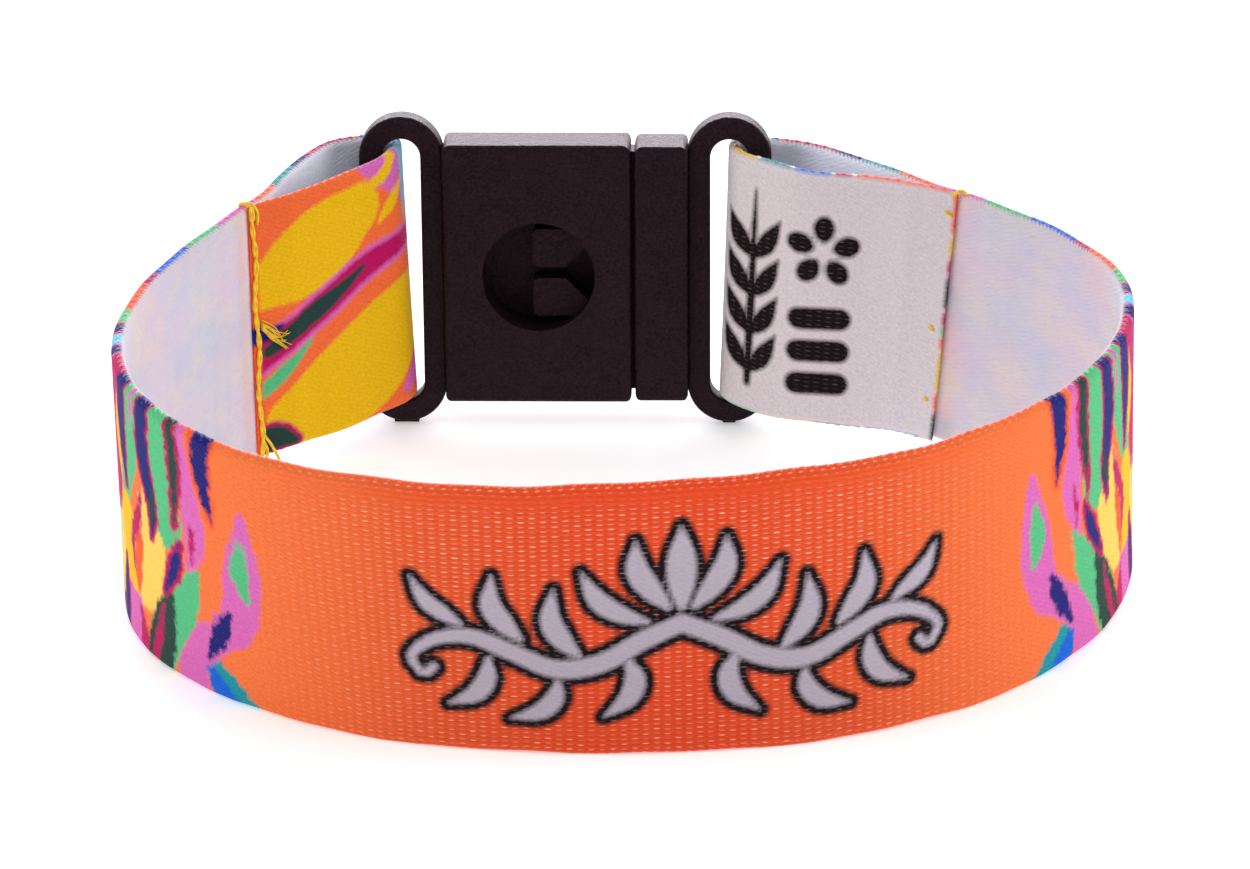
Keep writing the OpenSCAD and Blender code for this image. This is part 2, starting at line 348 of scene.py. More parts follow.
@dataclass
class Print:
    """The ribbon's printed design: patches and leaves on the sides, a vine in front, sprigs on the right.

    The columns of a spill are the height of its top and its ink. Those of an edge line are its ink, where
    it starts and stops, its height and its half width.
    """

    seed: int = 7
    far_from: float = 61.0
    far_to: float = 94.0
    far_pitch: float = 3.7
    fullness: float = 1.22
    outline: float = 0.62
    unpainted: float = -9.0
    spill_at: float = 18.52
    spill_half: float = 0.42
    spills: tuple = (
        (21.0, Ink.ORANGE),
        (16.6, Ink.YELLOW),
        (14.8, Ink.MAGENTA),
        (13.4, Ink.PINE),
        (10.6, Ink.MAGENTA),
        (9.2, Ink.MINT),
        (8.6, Ink.ORANGE),
        (7.4, Ink.YELLOW),
        (4.0, Ink.ORANGE),
        (2.4, Ink.PINE),
        (-1.0, Ink.PINE),
    )
    edge_lines: tuple = (
        (Ink.YELLOW, -1, 2.5, 20.2, 0.3),
        (Ink.TEAL, 3.1, 5.8, 20.2, 0.3),
        (Ink.ROYAL, 6.4, 9.0, 20.2, 0.3),
        (Ink.MAGENTA, 9.5, 10.4, 20.2, 0.3),
        (Ink.ORANGE, 11.0, 17.6, 20.2, 0.3),
        (Ink.MINT, -1, 3.6, -0.2, 0.4),
        (Ink.STRAW, 4.4, 8.0, -0.2, 0.3),
        (Ink.PINE, 8.6, 12.0, -0.2, 0.3),
        (Ink.ROYAL, 12.6, 17.0, -0.2, 0.3),
    )
    strokes: list[Stroke] = field(default_factory=list)

    def __post_init__(self) -> None:
        """Draws all the strokes."""
        self.draw_sides()
        self.draw_far_sides()
        self.draw_left_end()
        self.draw_front_vine()
        self.draw_right_end()

    def add(self, zone: Zone, layer: Layer, ink: Ink, points: tuple, rim: Ink | None = None) -> None:
        """Adds a stroke.

        Args:
            zone: the part of the print.
            layer: the layer that it lies in.
            ink: its colour.
            points: its x, height and half width.
            rim: the colour of its rim.
        """
        self.strokes.append(Stroke(zone, layer, ink, points, rim))

    def draw_sides(self) -> None:
        """Draws the patches and leaves left and right, by the distance from the front's middle."""
        i = Ink
        patches = {
            Layer.GROUND: (
                (i.ORCHID, ((28.4, 15.0, 0.3), (28.8, 10.6, 1.3), (29.6, 6.4, 1.2), (31.0, 4.2, 0.2))),
                (i.TEAL, ((28.8, -1, 0.9), (31.2, 1.0, 1.1), (33.2, 3.6, 0.3))),
                (i.MINT, ((36.6, 21, 2.2), (37.2, 15.5, 2.2), (36.4, 11.5, 1.4))),
                (i.STRAW, ((39.4, 12.5, 0.8), (39.4, 9.0, 2.0), (40.4, 5.6, 1.6))),
                (i.MINT, ((33.4, 9.2, 0.3), (35.2, 6.2, 1.3), (37.8, 2.8, 1.5), (39.4, -1, 1.2))),
                (i.ORCHID, ((33.0, 5.4, 0.3), (34.2, 2.6, 1.1), (35.2, -1, 1.5))),
                (i.MINT, ((41.8, 21, 1.8), (42.4, 16.5, 1.9), (43.4, 12.0, 1.0))),
                (i.YELLOW, ((43.6, 11.0, 0.8), (43.8, 7.8, 1.9), (42.8, 4.6, 1.0))),
                (i.MAGENTA, ((45.8, 21, 1.6), (46.8, 15, 1.9), (47.4, 10, 1.6))),
                (i.ORCHID, ((43.2, 3.0, 1.6), (44.6, -1, 2.0))),
                (i.STRAW, ((46.8, 7.0, 1.8), (47.6, 3.6, 1.6))),
                (i.PINE, ((47.4, 0.6, 1.6), (49.0, -1, 1.6))),
                (i.SKY, ((50.0, 21, 1.6), (50.4, 17.0, 1.5))),
                (i.YELLOW, ((50.8, 13.4, 1.8), (50.6, 9.6, 1.8))),
                (i.MAGENTA, ((50.8, 5.8, 1.6), (51.6, 2.2, 1.8), (52, -1, 1.8))),
                (i.MINT, ((53.8, 21, 1.9), (54.2, 15.0, 1.9), (53.8, 10.4, 1.6))),
                (i.ORCHID, ((54.4, 6.8, 2.0), (55.4, 1.0, 2.0), (55.4, -1, 2.0))),
                (i.ORANGE, ((57.8, 21, 1.9), (57.6, 15, 1.9))),
                (i.ROYAL, ((57.8, 11, 1.8), (58.6, 5, 2.0), (58.6, -1, 2.0))),
            ),
            Layer.PATCH: (
                (i.MINT, ((28.6, 8.6, 0.3), (29.0, 10.6, 0.85), (28.7, 12.8, 0.3))),
                (i.ORCHID, ((33.9, 21, 0.3), (33.6, 16, 0.9), (33.2, 11.6, 1.1), (34.2, 9.0, 0.2))),
                (i.PINE, ((39.8, -1, 1.8), (38.0, 3.2, 1.5), (36.6, 7.0, 0.3))),
                (i.ROYAL, ((30.2, -1, 0.8), (31.8, 0.4, 1.0), (32.8, 2.4, 0.3))),
                (i.ORANGE, ((40.6, 10.8, 0.2), (41.4, 7.6, 0.8), (41.8, 4.6, 0.3))),
                (i.YELLOW, ((45.0, 18.4, 0.2), (45.4, 15.6, 0.9), (44.8, 12.6, 0.3))),
                (i.SKY, ((48.6, 12.6, 0.2), (48.8, 9.6, 0.7), (48.2, 6.6, 0.2))),
                (i.MAGENTA, ((41.6, 3.4, 0.2), (41.2, 1.0, 0.8), (41.6, -1, 0.6))),
                (i.STRAW, ((52.6, 9.0, 0.2), (52.4, 6.6, 0.8), (53.0, 4.0, 0.2))),
            ),
            Layer.FIGURE: (
                (i.MAGENTA, ((40.0, -0.6, 0.35), (38.8, 2.4, 0.45), (37.8, 5.2, 0.1))),
                (i.MAGENTA, ((40.2, 13.0, 0.1), (41.0, 10.6, 0.6), (42.4, 8.4, 0.5), (42.2, 5.8, 0.1))),
            ),
            Layer.DETAIL: (
                (i.PINE, ((38.4, 13.6, 0.2), (38.5, 12.2, 0.45), (38.8, 10.8, 0.1))),
                (i.ORCHID, ((40.9, 20.6, 0.3), (41.2, 18.6, 0.25), (41.5, 16.8, 0.1))),
                (i.SKY, ((46.4, 9.6, 0.1), (46.6, 7.8, 0.35), (46.4, 6.0, 0.1))),
                (i.MAGENTA, ((33.4, 13.0, 0.1), (33.6, 11.2, 0.3), (33.9, 9.6, 0.1))),
            ),
        }
        leaves = (
            (i.NAVY, i.ORANGE, ((31.4, 21, 0.9), (31.8, 17.2, 0.75), (31.2, 13.8, 0.1))),
            (i.PINE, i.MAGENTA, ((35.2, 21, 0.45), (34.9, 16.6, 0.55), (35.5, 12.0, 0.1))),
            (i.NAVY, i.MAGENTA, ((38.8, 21, 0.8), (39.4, 16.4, 0.9), (38.4, 11.8, 0.5), (38.8, 10.0, 0.1))),
            (i.NAVY, i.ORCHID, ((30.4, 7.0, 0.3), (31.4, 5.2, 0.8), (32.9, 2.8, 0.1))),
            (i.NAVY, i.MAGENTA, ((35.0, 10.8, 0.1), (36.0, 8.6, 0.6), (37.4, 6.4, 0.1))),
            (i.NAVY, i.MAGENTA, ((43.2, 21, 0.8), (43.8, 16.8, 1.0), (43.2, 12.0, 0.1))),
            (i.NAVY, i.MAGENTA, ((44.8, 6.0, 0.1), (45.4, 3.2, 0.8), (46.4, -0.6, 0.9))),
            (i.NAVY, i.ORCHID, ((48.6, 21, 0.7), (49.0, 16.6, 0.9), (48.2, 12.4, 0.1))),
            (i.PINE, i.MAGENTA, ((49.4, 4.6, 0.1), (49.0, 2.0, 0.8), (49.8, -1, 0.7))),
            (i.NAVY, i.MAGENTA, ((52.6, 20.6, 0.6), (52.2, 15.6, 0.8), (52.8, 11.8, 0.1))),
            (i.NAVY, i.MINT, ((56.2, 14.0, 0.2), (55.8, 9.0, 0.9), (57.0, 4.0, 0.3))),
        )
        for layer, strokes in patches.items():
            full = self.fullness if layer is Layer.GROUND else 1
            for ink, row in strokes:
                self.add(Zone.SIDES, layer, ink, tuple((x, y, r * full) for x, y, r in row))
        for ink, rim, row in leaves:
            self.add(Zone.SIDES, Layer.FIGURE, ink, row, rim)

    def draw_far_sides(self) -> None:
        """Draws the like bands and leaves, at seeded places, on the parts that the photograph hides."""
        rng = np.random.default_rng(self.seed)
        i = Ink
        inks = [i.MAGENTA, i.ROYAL, i.MINT, i.ORCHID, i.ORANGE, i.TEAL, i.NAVY, i.MAGENTA, i.ROYAL]
        pairs = ((i.NAVY, i.MAGENTA), (i.PINE, i.ORCHID), (i.NAVY, i.MINT))
        x = self.far_from
        turn = 0
        while x < self.far_to:
            sway = rng.uniform(-0.8, 0.8, 4)
            heights = enumerate((21, 14, 6, -1))
            band = tuple((x + sway[k], height, rng.uniform(1.7, 2.4)) for k, height in heights)
            self.add(Zone.SIDES, (Layer.GROUND, Layer.PATCH)[turn % 2], inks[turn % len(inks)], band)
            for height in (rng.uniform(2, 7), rng.uniform(9, 13)):
                ink, rim = pairs[rng.integers(len(pairs))]
                self.add(Zone.SIDES, Layer.FIGURE, ink, self.leaf(rng, x + 1.8, height, 0.75), rim)
            spot = self.leaf(rng, x + rng.uniform(-0.6, 0.6), rng.uniform(4, 15), 0.5)
            self.add(Zone.SIDES, Layer.DETAIL, inks[rng.integers(len(inks))], spot)
            x += self.far_pitch
            turn += 1

    @staticmethod
    def leaf(rng: np.random.Generator, x: float, height: float, half: float) -> tuple:
        """Makes the points of one leaf.

        Args:
            rng: the seeded source of its lean and length.
            x: the place of its middle.
            height: the height of its middle.
            half: its half width.

        Returns:
            Three points of x, height and half width.
        """
        lean, reach = rng.uniform(-0.9, 0.9), rng.uniform(2.4, 4.2)
        return (
            (x - lean, height + reach, half * 0.3),
            (x + rng.uniform(-0.3, 0.3), height, half),
            (x + lean, height - reach, half * 0.15),
        )

    def draw_left_end(self) -> None:
        """Draws the large petals of the left end, by the distance from its cut edge."""
        i = Ink
        patches = {
            Layer.GROUND: (
                (i.YELLOW, ((2.6, 2.2, 2.2), (8.6, 4.2, 4.0), (13.0, 6.8, 3.2), (16.4, 9.0, 1.6))),
                (i.ORCHID, ((11.4, 21, 2.0), (14.0, 18.6, 1.8), (17.4, 16.0, 1.5))),
                (i.YELLOW, ((0.6, 13.2, 1.6), (5.0, 15.2, 3.2), (9.6, 17.0, 2.0))),
                (i.MINT, ((-1, 4.4, 0.5), (1.6, 6.0, 0.6), (4.4, 8.2, 0.2))),
            ),
            Layer.PATCH: (
                (i.SKY, ((15.4, 20.6, 0.9), (15.2, 17.6, 0.6), (14.8, 14.6, 0.2))),
                (i.YELLOW, ((10.4, 18.4, 0.2), (12.2, 18.8, 0.55), (14.0, 20.4, 0.3))),
                (i.YELLOW, ((11.6, 15.4, 0.2), (13.0, 16.4, 0.6), (14.6, 17.6, 0.2))),
                (i.ORCHID, ((13.4, 1.4, 0.5), (15.8, 3.2, 1.0), (18.6, 4.4, 0.8))),
            ),
            Layer.FIGURE: (
                (
                    i.MAGENTA,
                    ((-1, 7.2, 1.1), (4.0, 9.8, 1.1), (9.4, 12.2, 1.0), (16.8, 13.4, 0.5)),
                    i.ORCHID,
                ),
                (i.PINE, ((-1, 0.4, 0.9), (1.0, 1.2, 1.0), (2.6, 0.6, 0.4)), i.MAGENTA),
            ),
            Layer.BORDER: ((i.ORANGE, ((-0.3, 21, 0.5), (-0.3, -1, 0.5))),),
            Layer.DETAIL: (
                (i.PINE, ((0.8, 8.2, 0.5), (4.6, 10.2, 0.8), (9.6, 12.4, 0.2))),
                (i.NAVY, ((-1, 9.8, 0.7), (0.6, 9.6, 0.6), (2.0, 10.0, 0.15))),
            ),
        }
        for layer, strokes in patches.items():
            for stroke in strokes:
                self.add(Zone.LEFT_END, layer, *stroke)

    def draw_front_vine(self) -> None:
        """Draws the white vine with its dark outline, by the distance from its middle."""
        rows = [((0, 11.0, 0.3), (0, 12.6, 0.85), (0, 14.4, 0.95), (0, 16.9, 0.06))]
        for side in (-1, 1):
            for leaf in (
                (
                    (0, 9.8, 0.62),
                    (2.6, 8.6, 0.66),
                    (5.4, 7.0, 0.68),
                    (8.4, 6.6, 0.66),
                    (11.2, 7.8, 0.62),
                ),
                (
                    (11.2, 7.8, 0.62),
                    (14.0, 8.9, 0.55),
                    (16.6, 8.4, 0.42),
                    (18.0, 7.0, 0.3),
                    (17.4, 5.9, 0.28),
                ),
                ((17.4, 5.9, 0.28), (16.9, 5.9, 0.28), (16.5, 6.4, 0.3)),
                ((0.9, 11.0, 0.25), (2.0, 12.3, 0.7), (2.9, 13.8, 0.75), (3.0, 16.0, 0.06)),
                ((2.3, 10.0, 0.2), (4.0, 10.6, 0.6), (5.5, 11.7, 0.66), (6.6, 13.8, 0.06)),
                ((3.6, 7.2, 0.2), (3.1, 5.8, 0.66), (3.5, 4.4, 0.66), (5.2, 3.0, 0.06)),
                ((6.8, 7.6, 0.2), (7.9, 8.8, 0.68), (8.6, 10.2, 0.7), (8.4, 12.6, 0.06)),
                ((8.2, 5.6, 0.2), (8.4, 4.4, 0.6), (9.4, 3.3, 0.6), (11.4, 2.7, 0.06)),
                ((10.6, 8.8, 0.2), (11.7, 10.0, 0.68), (12.5, 11.3, 0.7), (12.4, 13.6, 0.06)),
                ((12.8, 7.2, 0.2), (12.9, 5.8, 0.62), (13.6, 4.6, 0.64), (15.6, 3.6, 0.06)),
                ((14.6, 9.8, 0.2), (15.8, 10.6, 0.55), (16.8, 11.4, 0.55), (17.8, 13.2, 0.06)),
            ):
                rows.append(tuple((side * x, y, r) for x, y, r in leaf))
        for row in rows:
            stroke = Stroke(Zone.FRONT, Layer.FIGURE, Ink.LILAC, row, Ink.BLACK, self.outline)
            self.strokes.append(stroke)

    def draw_right_end(self) -> None:
        """Draws the white end with its black sprig, blossom and bars."""
        self.add(Zone.RIGHT_END, Layer.GROUND, Ink.PAPER, ((14.0, -12, 19.2), (14.0, 32, 19.2)))
        x, half = self.spill_at, self.spill_half
        for (top, ink), (low, _) in zip(self.spills, self.spills[1:]):
            self.add(Zone.RIGHT_END, Layer.DETAIL, ink, ((x, top - half, half), (x, low + half, half)))
        for ink, start, stop, height, half in self.edge_lines:
            self.add(Zone.RIGHT_END, Layer.DETAIL, ink, ((start, height, half), (stop, height, half)))
        black: list[tuple] = [
            ((3.0, 2.4, 0.35), (3.0, 9.0, 0.4), (3.0, 15.6, 0.2)),
            ((3.0, 14.6, 0.3), (3.0, 17.6, 0.1)),
        ]
        for height in (3.4, 6.4, 9.4, 12.4):
            for side in (-1, 1):
                middle = (3.0 + side * 1.3, height + 1.3, 0.8)
                black.append(((3.0, height, 0.3), middle, (3.0 + side * 2.4, height + 3.2, 0.1)))
        for height in (3.2, 5.8, 8.4):
            black.append(((7.2, height, 0.9), (10.2, height + 0.2, 0.9)))
        for turn in range(5):
            angle = math.radians(72 * turn + 90)
            petal = ((0.9, 0.2), (1.9, 0.85), (2.6, 0.3))
            way = (math.cos(angle), math.sin(angle))
            black.append(tuple((8.8 + r * way[0], 13.8 + r * way[1], half) for r, half in petal))
        for row in black:
            self.add(Zone.RIGHT_END, Layer.FIGURE, Ink.BLACK, row)

    def layer_fields(self, along: np.ndarray, height: np.ndarray) -> list[tuple[np.ndarray, np.ndarray]]:
        """Works out the colour and the depth of every layer at points.

        Args:
            along: millimetres from the left free end.
            height: millimetres above the lower edge.

        Returns:
            For each layer, its linear colour and its depth in millimetres at each point.
        """
        count = len(along)
        fields = [(np.zeros((count, 3)), np.full(count, self.unpainted)) for _ in Layer]
        for stroke in self.strokes:
            near, depth = stroke.depth(along, height)
            passes = [(stroke.layer, stroke.ink, 0.0)]
            if stroke.rim:
                passes.append((stroke.layer - 1, stroke.rim, stroke.rim_width))
            for layer, ink, grow in passes:
                colour, best = fields[layer]
                better = depth + grow > best[near]
                best[near[better]] = depth[better] + grow
                colour[near[better]] = ink.linear()
        return fields

    def spill_colours(self, height: np.ndarray) -> np.ndarray:
        """Gives the colour of the ink on the right cut edge.

        Args:
            height: millimetres above the lower edge.

        Returns:
            The colours in linear light, one row each.
        """
        found = np.zeros((len(height), 3))
        for top, ink in self.spills:
            found[height <= top] = ink.linear()
        return found

    def colour_at(self, along: np.ndarray, height: np.ndarray) -> np.ndarray:
        """Works out the printed colour at points.

        Args:
            along: millimetres from the left free end.
            height: millimetres above the lower edge.

        Returns:
            The colours in linear light, one row each.
        """
        found = np.tile(Ink.ORANGE.linear(), (len(along), 1))
        for colour, depth in self.layer_fields(along, height):
            found = np.where(depth[:, None] > 0, colour, found)
        return found


class Wire:
    """A value of a material's nodes that Python's operators work on."""

    def __init__(self, bench: "Bench", socket: bpy.types.NodeSocket) -> None:
        """Keeps the socket and the bench that makes its nodes."""
        self.bench = bench
        self.socket = socket

    def __add__(self, other: "Wire | float") -> "Wire":
        """Adds."""
        return self.bench.math("ADD", self, other)

    __radd__ = __add__

    def __sub__(self, other: "Wire | float") -> "Wire":
        """Subtracts."""
        return self.bench.math("SUBTRACT", self, other)

    def __rsub__(self, other: "Wire | float") -> "Wire":
        """Subtracts this from a number."""
        return self.bench.math("SUBTRACT", other, self)

    def __mul__(self, other: "Wire | float") -> "Wire":
        """Multiplies."""
        return self.bench.math("MULTIPLY", self, other)

    __rmul__ = __mul__

    def __truediv__(self, other: "Wire | float") -> "Wire":
        """Divides."""
        return self.bench.math("DIVIDE", self, other)

    def __mod__(self, other: "Wire | float") -> "Wire":
        """Gives the remainder."""
        return self.bench.math("FLOORED_MODULO", self, other)

    def clamp(self) -> "Wire":
        """Keeps the value from 0 to 1."""
        return self.bench.math("MAXIMUM", self.bench.math("MINIMUM", self, 1.0), 0.0)

    def ramp(self, start: float, stop: float) -> "Wire":
        """Gives 0 at the start and before it, 1 at the stop and past it, and a straight rise between."""
        return ((self - start) / (stop - start)).clamp()

    def floor(self) -> "Wire":
        """Rounds down."""
        return self.bench.math("FLOOR", self)

    def fraction(self) -> "Wire":
        """Gives what is left after rounding down."""
        return self.bench.math("FRACT", self)

    def size(self) -> "Wire":
        """Drops the sign."""
        return self.bench.math("ABSOLUTE", self)

    def wave(self) -> "Wire":
        """Gives a sine wave of one turn for each 1, from 0 to 1."""
        return self.bench.math("SINE", self * (2 * math.pi)) * 0.5 + 0.5


class Bench:
    """Makes one material and its nodes."""

    def __init__(self, name: str) -> None:
        """Starts an empty material."""
        self.material = bpy.data.materials.new(name)
        self.material.use_nodes = True
        self.tree = self.material.node_tree
        self.tree.nodes.clear()

    def node(self, kind: str, settings: dict | None = None, values: dict | None = None) -> bpy.types.Node:
        """Adds a node.

        Args:
            kind: the node's type.
            settings: its own settings, set first.
            values: what its input sockets hold, by name or number: numbers, colours or wires.

        Returns:
            The node.
        """
        made = self.tree.nodes.new(kind)
        for key, value in (settings or {}).items():
            setattr(made, key, value)
        for key, value in (values or {}).items():
            if isinstance(value, Wire):
                self.tree.links.new(value.socket, made.inputs[key])
            else:
                made.inputs[key].default_value = value
        return made

    def wire(self, made: bpy.types.Node, output: str | int = 0) -> Wire:
        """Gives a node's output as a wire."""
        return Wire(self, made.outputs[output])

    def math(self, operation: str, *values: "Wire | float") -> Wire:
        """Adds a Math node for one operation."""
        return self.wire(self.node("ShaderNodeMath", {"operation": operation}, dict(enumerate(values))))

    def blend(
        self, factor: "Wire | float", first: "Wire | tuple", second: "Wire | tuple", mode: str = "MIX"
    ) -> Wire:
        """Mixes two colours.

        Args:
            factor: the second one's share.
            first: a wire, or red, green and blue from 0 to 255.
            second: the same.
            mode: how they are mixed.

        Returns:
            The mixed colour.
        """
        first, second = (colour if isinstance(colour, Wire) else rgb(colour) for colour in (first, second))
        settings = {"data_type": "RGBA", "blend_type": mode}
        return self.wire(self.node("ShaderNodeMix", settings, {0: factor, 6: first, 7: second}), 2)

    def tone(self, colour: Wire, value: Wire) -> Wire:
        """Multiplies a colour by a value."""
        return self.blend(1.0, colour, self.vector(value, value, value), "MULTIPLY")

    def noise(self, vector: Wire, scale: float, detail: float = 2.0, roughness: float = 0.5) -> Wire:
        """Gives a noise from 0 to 1 of a vector's coordinates."""
        values = {"Vector": vector, "Scale": scale, "Detail": detail, "Roughness": roughness}
        return self.wire(self.node("ShaderNodeTexNoise", None, values), "Fac")

    def vector(self, x: "Wire | float", y: "Wire | float", z: "Wire | float" = 0.0) -> Wire:
        """Joins three values."""
        return self.wire(self.node("ShaderNodeCombineXYZ", None, {0: x, 1: y, 2: z}))

    def dots(self, x: Wire, y: Wire) -> Wire:
        """Gives a random value from 0 to 1 for each pair of whole numbers."""
        values = {"Vector": self.vector(x, y)}
        return self.wire(self.node("ShaderNodeTexWhiteNoise", {"noise_dimensions": "2D"}, values), "Value")

    def attribute(self, name: str) -> bpy.types.Node:
        """Adds a node that reads the piece's own attribute."""
        return self.node("ShaderNodeAttribute", {"attribute_name": name})

    def split(self, name: str) -> tuple[Wire, Wire, Wire]:
        """Gives the three numbers of the piece's own vector attribute."""
        made = self.node("ShaderNodeSeparateXYZ", None, {0: self.wire(self.attribute(name), "Vector")})
        return self.wire(made, 0), self.wire(made, 1), self.wire(made, 2)

    def finish(self, height: Wire, relief: float, values: dict) -> bpy.types.Material:
        """Ends the material with its shader.

        Args:
            height: the relief from 0 to 1.
            relief: how high 1 stands, in metres.
            values: the shader's sockets.

        Returns:
            The material.
        """
        bump = self.node("ShaderNodeBump", None, {"Strength": 1.0, "Distance": relief, "Height": height})
        shader = self.node("ShaderNodeBsdfPrincipled", None, {**values, "Normal": self.wire(bump)})
        self.node("ShaderNodeOutputMaterial", None, {"Surface": self.wire(shader)})
        return self.material


@dataclass(frozen=True)
class Spot:
    """What all of the weave reads: the place on the ribbon, its yarns and how plain the print is there,
    which also sets how strong the painted highlights are.
    """

    b: Bench
    along: Wire
    height: Wire
    side: Wire
    yarn: Wire
    fleck: Wire
    turn: Wire
    front: Wire


@dataclass(frozen=True)
class PrintedWeave:
    """The ribbon's finish: ink on woven polyester, pale inside, with the weft's glints in front painted as
    highlights, a painted sheen on the sides, painted light inside the folds and painted shade low on the
    front.

    A pair of numbers is where a change starts and where it is complete, in millimetres. A smudge is where
    its noise is read, its strength and its tint.
    """

    first: float = -0.2
    last: float = 221.5
    middle: float = 10.0
    column: float = 0.725
    row: float = 0.356
    twill: float = 0.34
    plain_front: tuple[float, float] = (29.0, 14.0)
    sheen_turn: tuple[float, float] = (5.0, 21.0)
    left_fold: tuple[float, float] = (22.0, 24.0)
    right_fold: tuple[float, float] = (200.0, 198.0)
    white_end: tuple[float, float] = (202.0, 204.0)
    left_fold_light: tuple[float, float] = (31.0, 25.0)
    right_fold_light: tuple[float, float] = (184.5, 190.5)
    wrapped: tuple[float, float] = (9.3, 9.55)
    ember: tuple = (222, 56, 22)
    sheen_colour: tuple = (246, 120, 60)
    pale: tuple = (221, 216, 227)
    smudges: tuple = (
        (0.0, 0.6, (196, 206, 234)),
        (40.0, 0.5, (234, 204, 218)),
        (80.0, 0.6, (238, 226, 206)),
    )
    tick: tuple = (180, 192, 228)
    fold_light: tuple = (240, 244, 255)
    glint: tuple = (255, 220, 188)
    edge_glint: tuple = (255, 216, 190)
    relief: float = 0.00005

    def build(self) -> bpy.types.Material:
        """Makes the material.

        Returns:
            The material.
        """
        b = Bench("printed_weave")
        along, height, side = b.split("flat")
        yarn = b.noise(b.vector(along * 1.2, height * 8.0), 1.0, 3.0, 0.6)
        fleck = b.noise(b.vector(along, height), 4.0, 3.0, 0.65)
        turn = (along - Zone.SIDES.value).size()
        front = turn.ramp(*self.plain_front) * 0.97 + 0.03
        at = Spot(b, along, height, side, yarn, fleck, turn, front)
        twill = ((height + along * 0.5) / self.twill + yarn * 1.6).wave()
        line = ((height + along * 0.3) / self.twill + yarn * 1.2).wave()
        paint, dash = self.printed(at, twill)
        past_end = along.ramp(self.last, self.last + 0.1) + along.ramp(self.first, self.first - 0.1)
        inside = (0.5 - side * 3.0).clamp() * (1.0 - past_end)
        colour = b.blend(inside, paint, self.unprinted(at, line, paint))
        rows = (height / self.row + 0.25).wave()
        lift = rows * 0.2 * front + twill * (0.4 - front * 0.25)
        lift = lift + yarn * 0.6 + dash * 0.3 + line * inside * 0.15
        values = {
            "Base Color": colour,
            "Roughness": 0.75 - dash * 0.25,
            "Specular IOR Level": 0.14,
            "Sheen Weight": 0.03,
        }
        return b.finish(lift, self.relief, values)

    def printed(self, at: Spot, twill: Wire) -> tuple[Wire, Wire]:
        """Draws the printed face.

        Args:
            at: the place on the ribbon.
            twill: the slanting lines of the weave.

        Returns:
            The colour, and how bright the weft is.
        """
        b, along, height, yarn, fleck, front = at.b, at.along, at.height, at.yarn, at.fleck, at.front
        past_fold = along.ramp(*self.left_fold)
        loose = (1.0 - front) * (past_fold * 0.7 + 0.3) * along.ramp(*self.right_fold)
        # Painted shade: the front is toned darker towards its lower edge, and its painted highlights are
        # fainter there.
        low = (1.0 - height * 0.06).clamp() * front
        jag = (yarn - 0.5) * 0.2 + (fleck - 0.5) * 0.16
        rags = [
            (b.noise(b.vector(along * 1.5 + shift, height * 1.1), 1.0, 3.0, 0.65) - 0.5) * loose * 1.3
            for shift in (0.0, 300.0)
        ]
        rib = (height / self.row + 0.75 + yarn * 0.5).wave()
        # Painted sheen and side light: away from the front's middle the orange turns lighter and less
        # saturated, less so on the folded ends.
        side_sheen = at.turn.ramp(*self.sheen_turn) * (past_fold * 0.4 + 0.6)
        paint = b.blend(side_sheen, Ink.ORANGE.value, self.sheen_colour)
        paint = b.blend((rib * 0.25 + yarn * 0.7) * front, paint, self.ember)
        covers = []
        for layer in Layer:
            ink = b.attribute(f"ink_{layer.value}")
            covers.append(((b.wire(ink, "Alpha") - 0.5 + jag + rags[layer % 2]) * 2.6 + 0.5).clamp())
            paint = b.blend(covers[-1], paint, b.wire(ink, "Color"))
        outline = covers[Layer.OUTLINE] * (1.0 - covers[Layer.FIGURE])
        grain = (fleck - 0.5) * (0.5 - front * 0.26)
        paint = b.tone(paint, 0.95 - low * 0.1 + (yarn - 0.5) * 0.16 + grain + (twill - 0.5) * 0.05)
        white_end = along.ramp(*self.white_end)
        # Painted highlights on the weft's dashes: strongest on the plain front, half as strong on the white
        # end's print, fainter low on the front and on the outline, nearly gone on the pale figures; lilac on
        # the outline, paper white on the white end.
        dash = self.dashes(at) * (front + white_end * 0.5)
        dash = dash * (0.84 - low * 0.3 - outline * 0.36 - covers[Layer.FIGURE] * 0.6)
        weft = b.blend(outline, self.glint, Ink.LILAC.value)
        paint = b.blend(dash, paint, b.blend(white_end, weft, Ink.PAPER.value))
        return b.blend(self.edge_glints(at) * (0.05 + front * 0.4), paint, self.edge_glint), dash

    def unprinted(self, at: Spot, line: Wire, paint: Wire) -> Wire:
        """Draws the pale face, with the ink that comes through it and the ink that wraps round its edges.

        Args:
            at: the place on the ribbon.
            line: the slanting lines of its weave.
            paint: the printed face's colour there.

        Returns:
            The colour.
        """
        b, along, height, yarn, fleck = at.b, at.along, at.height, at.yarn, at.fleck
        cloth = self.pale
        for shift, share, tint in self.smudges:
            place = b.vector(along * 0.16 + shift, height * 0.22, shift)
            cloth = b.blend(b.noise(place, 1.0, 3.0, 0.6).ramp(0.44, 0.69) * share, cloth, tint)
        seen = b.attribute("shade")
        cloth = b.blend(b.wire(seen, "Alpha"), cloth, b.wire(seen, "Color"))
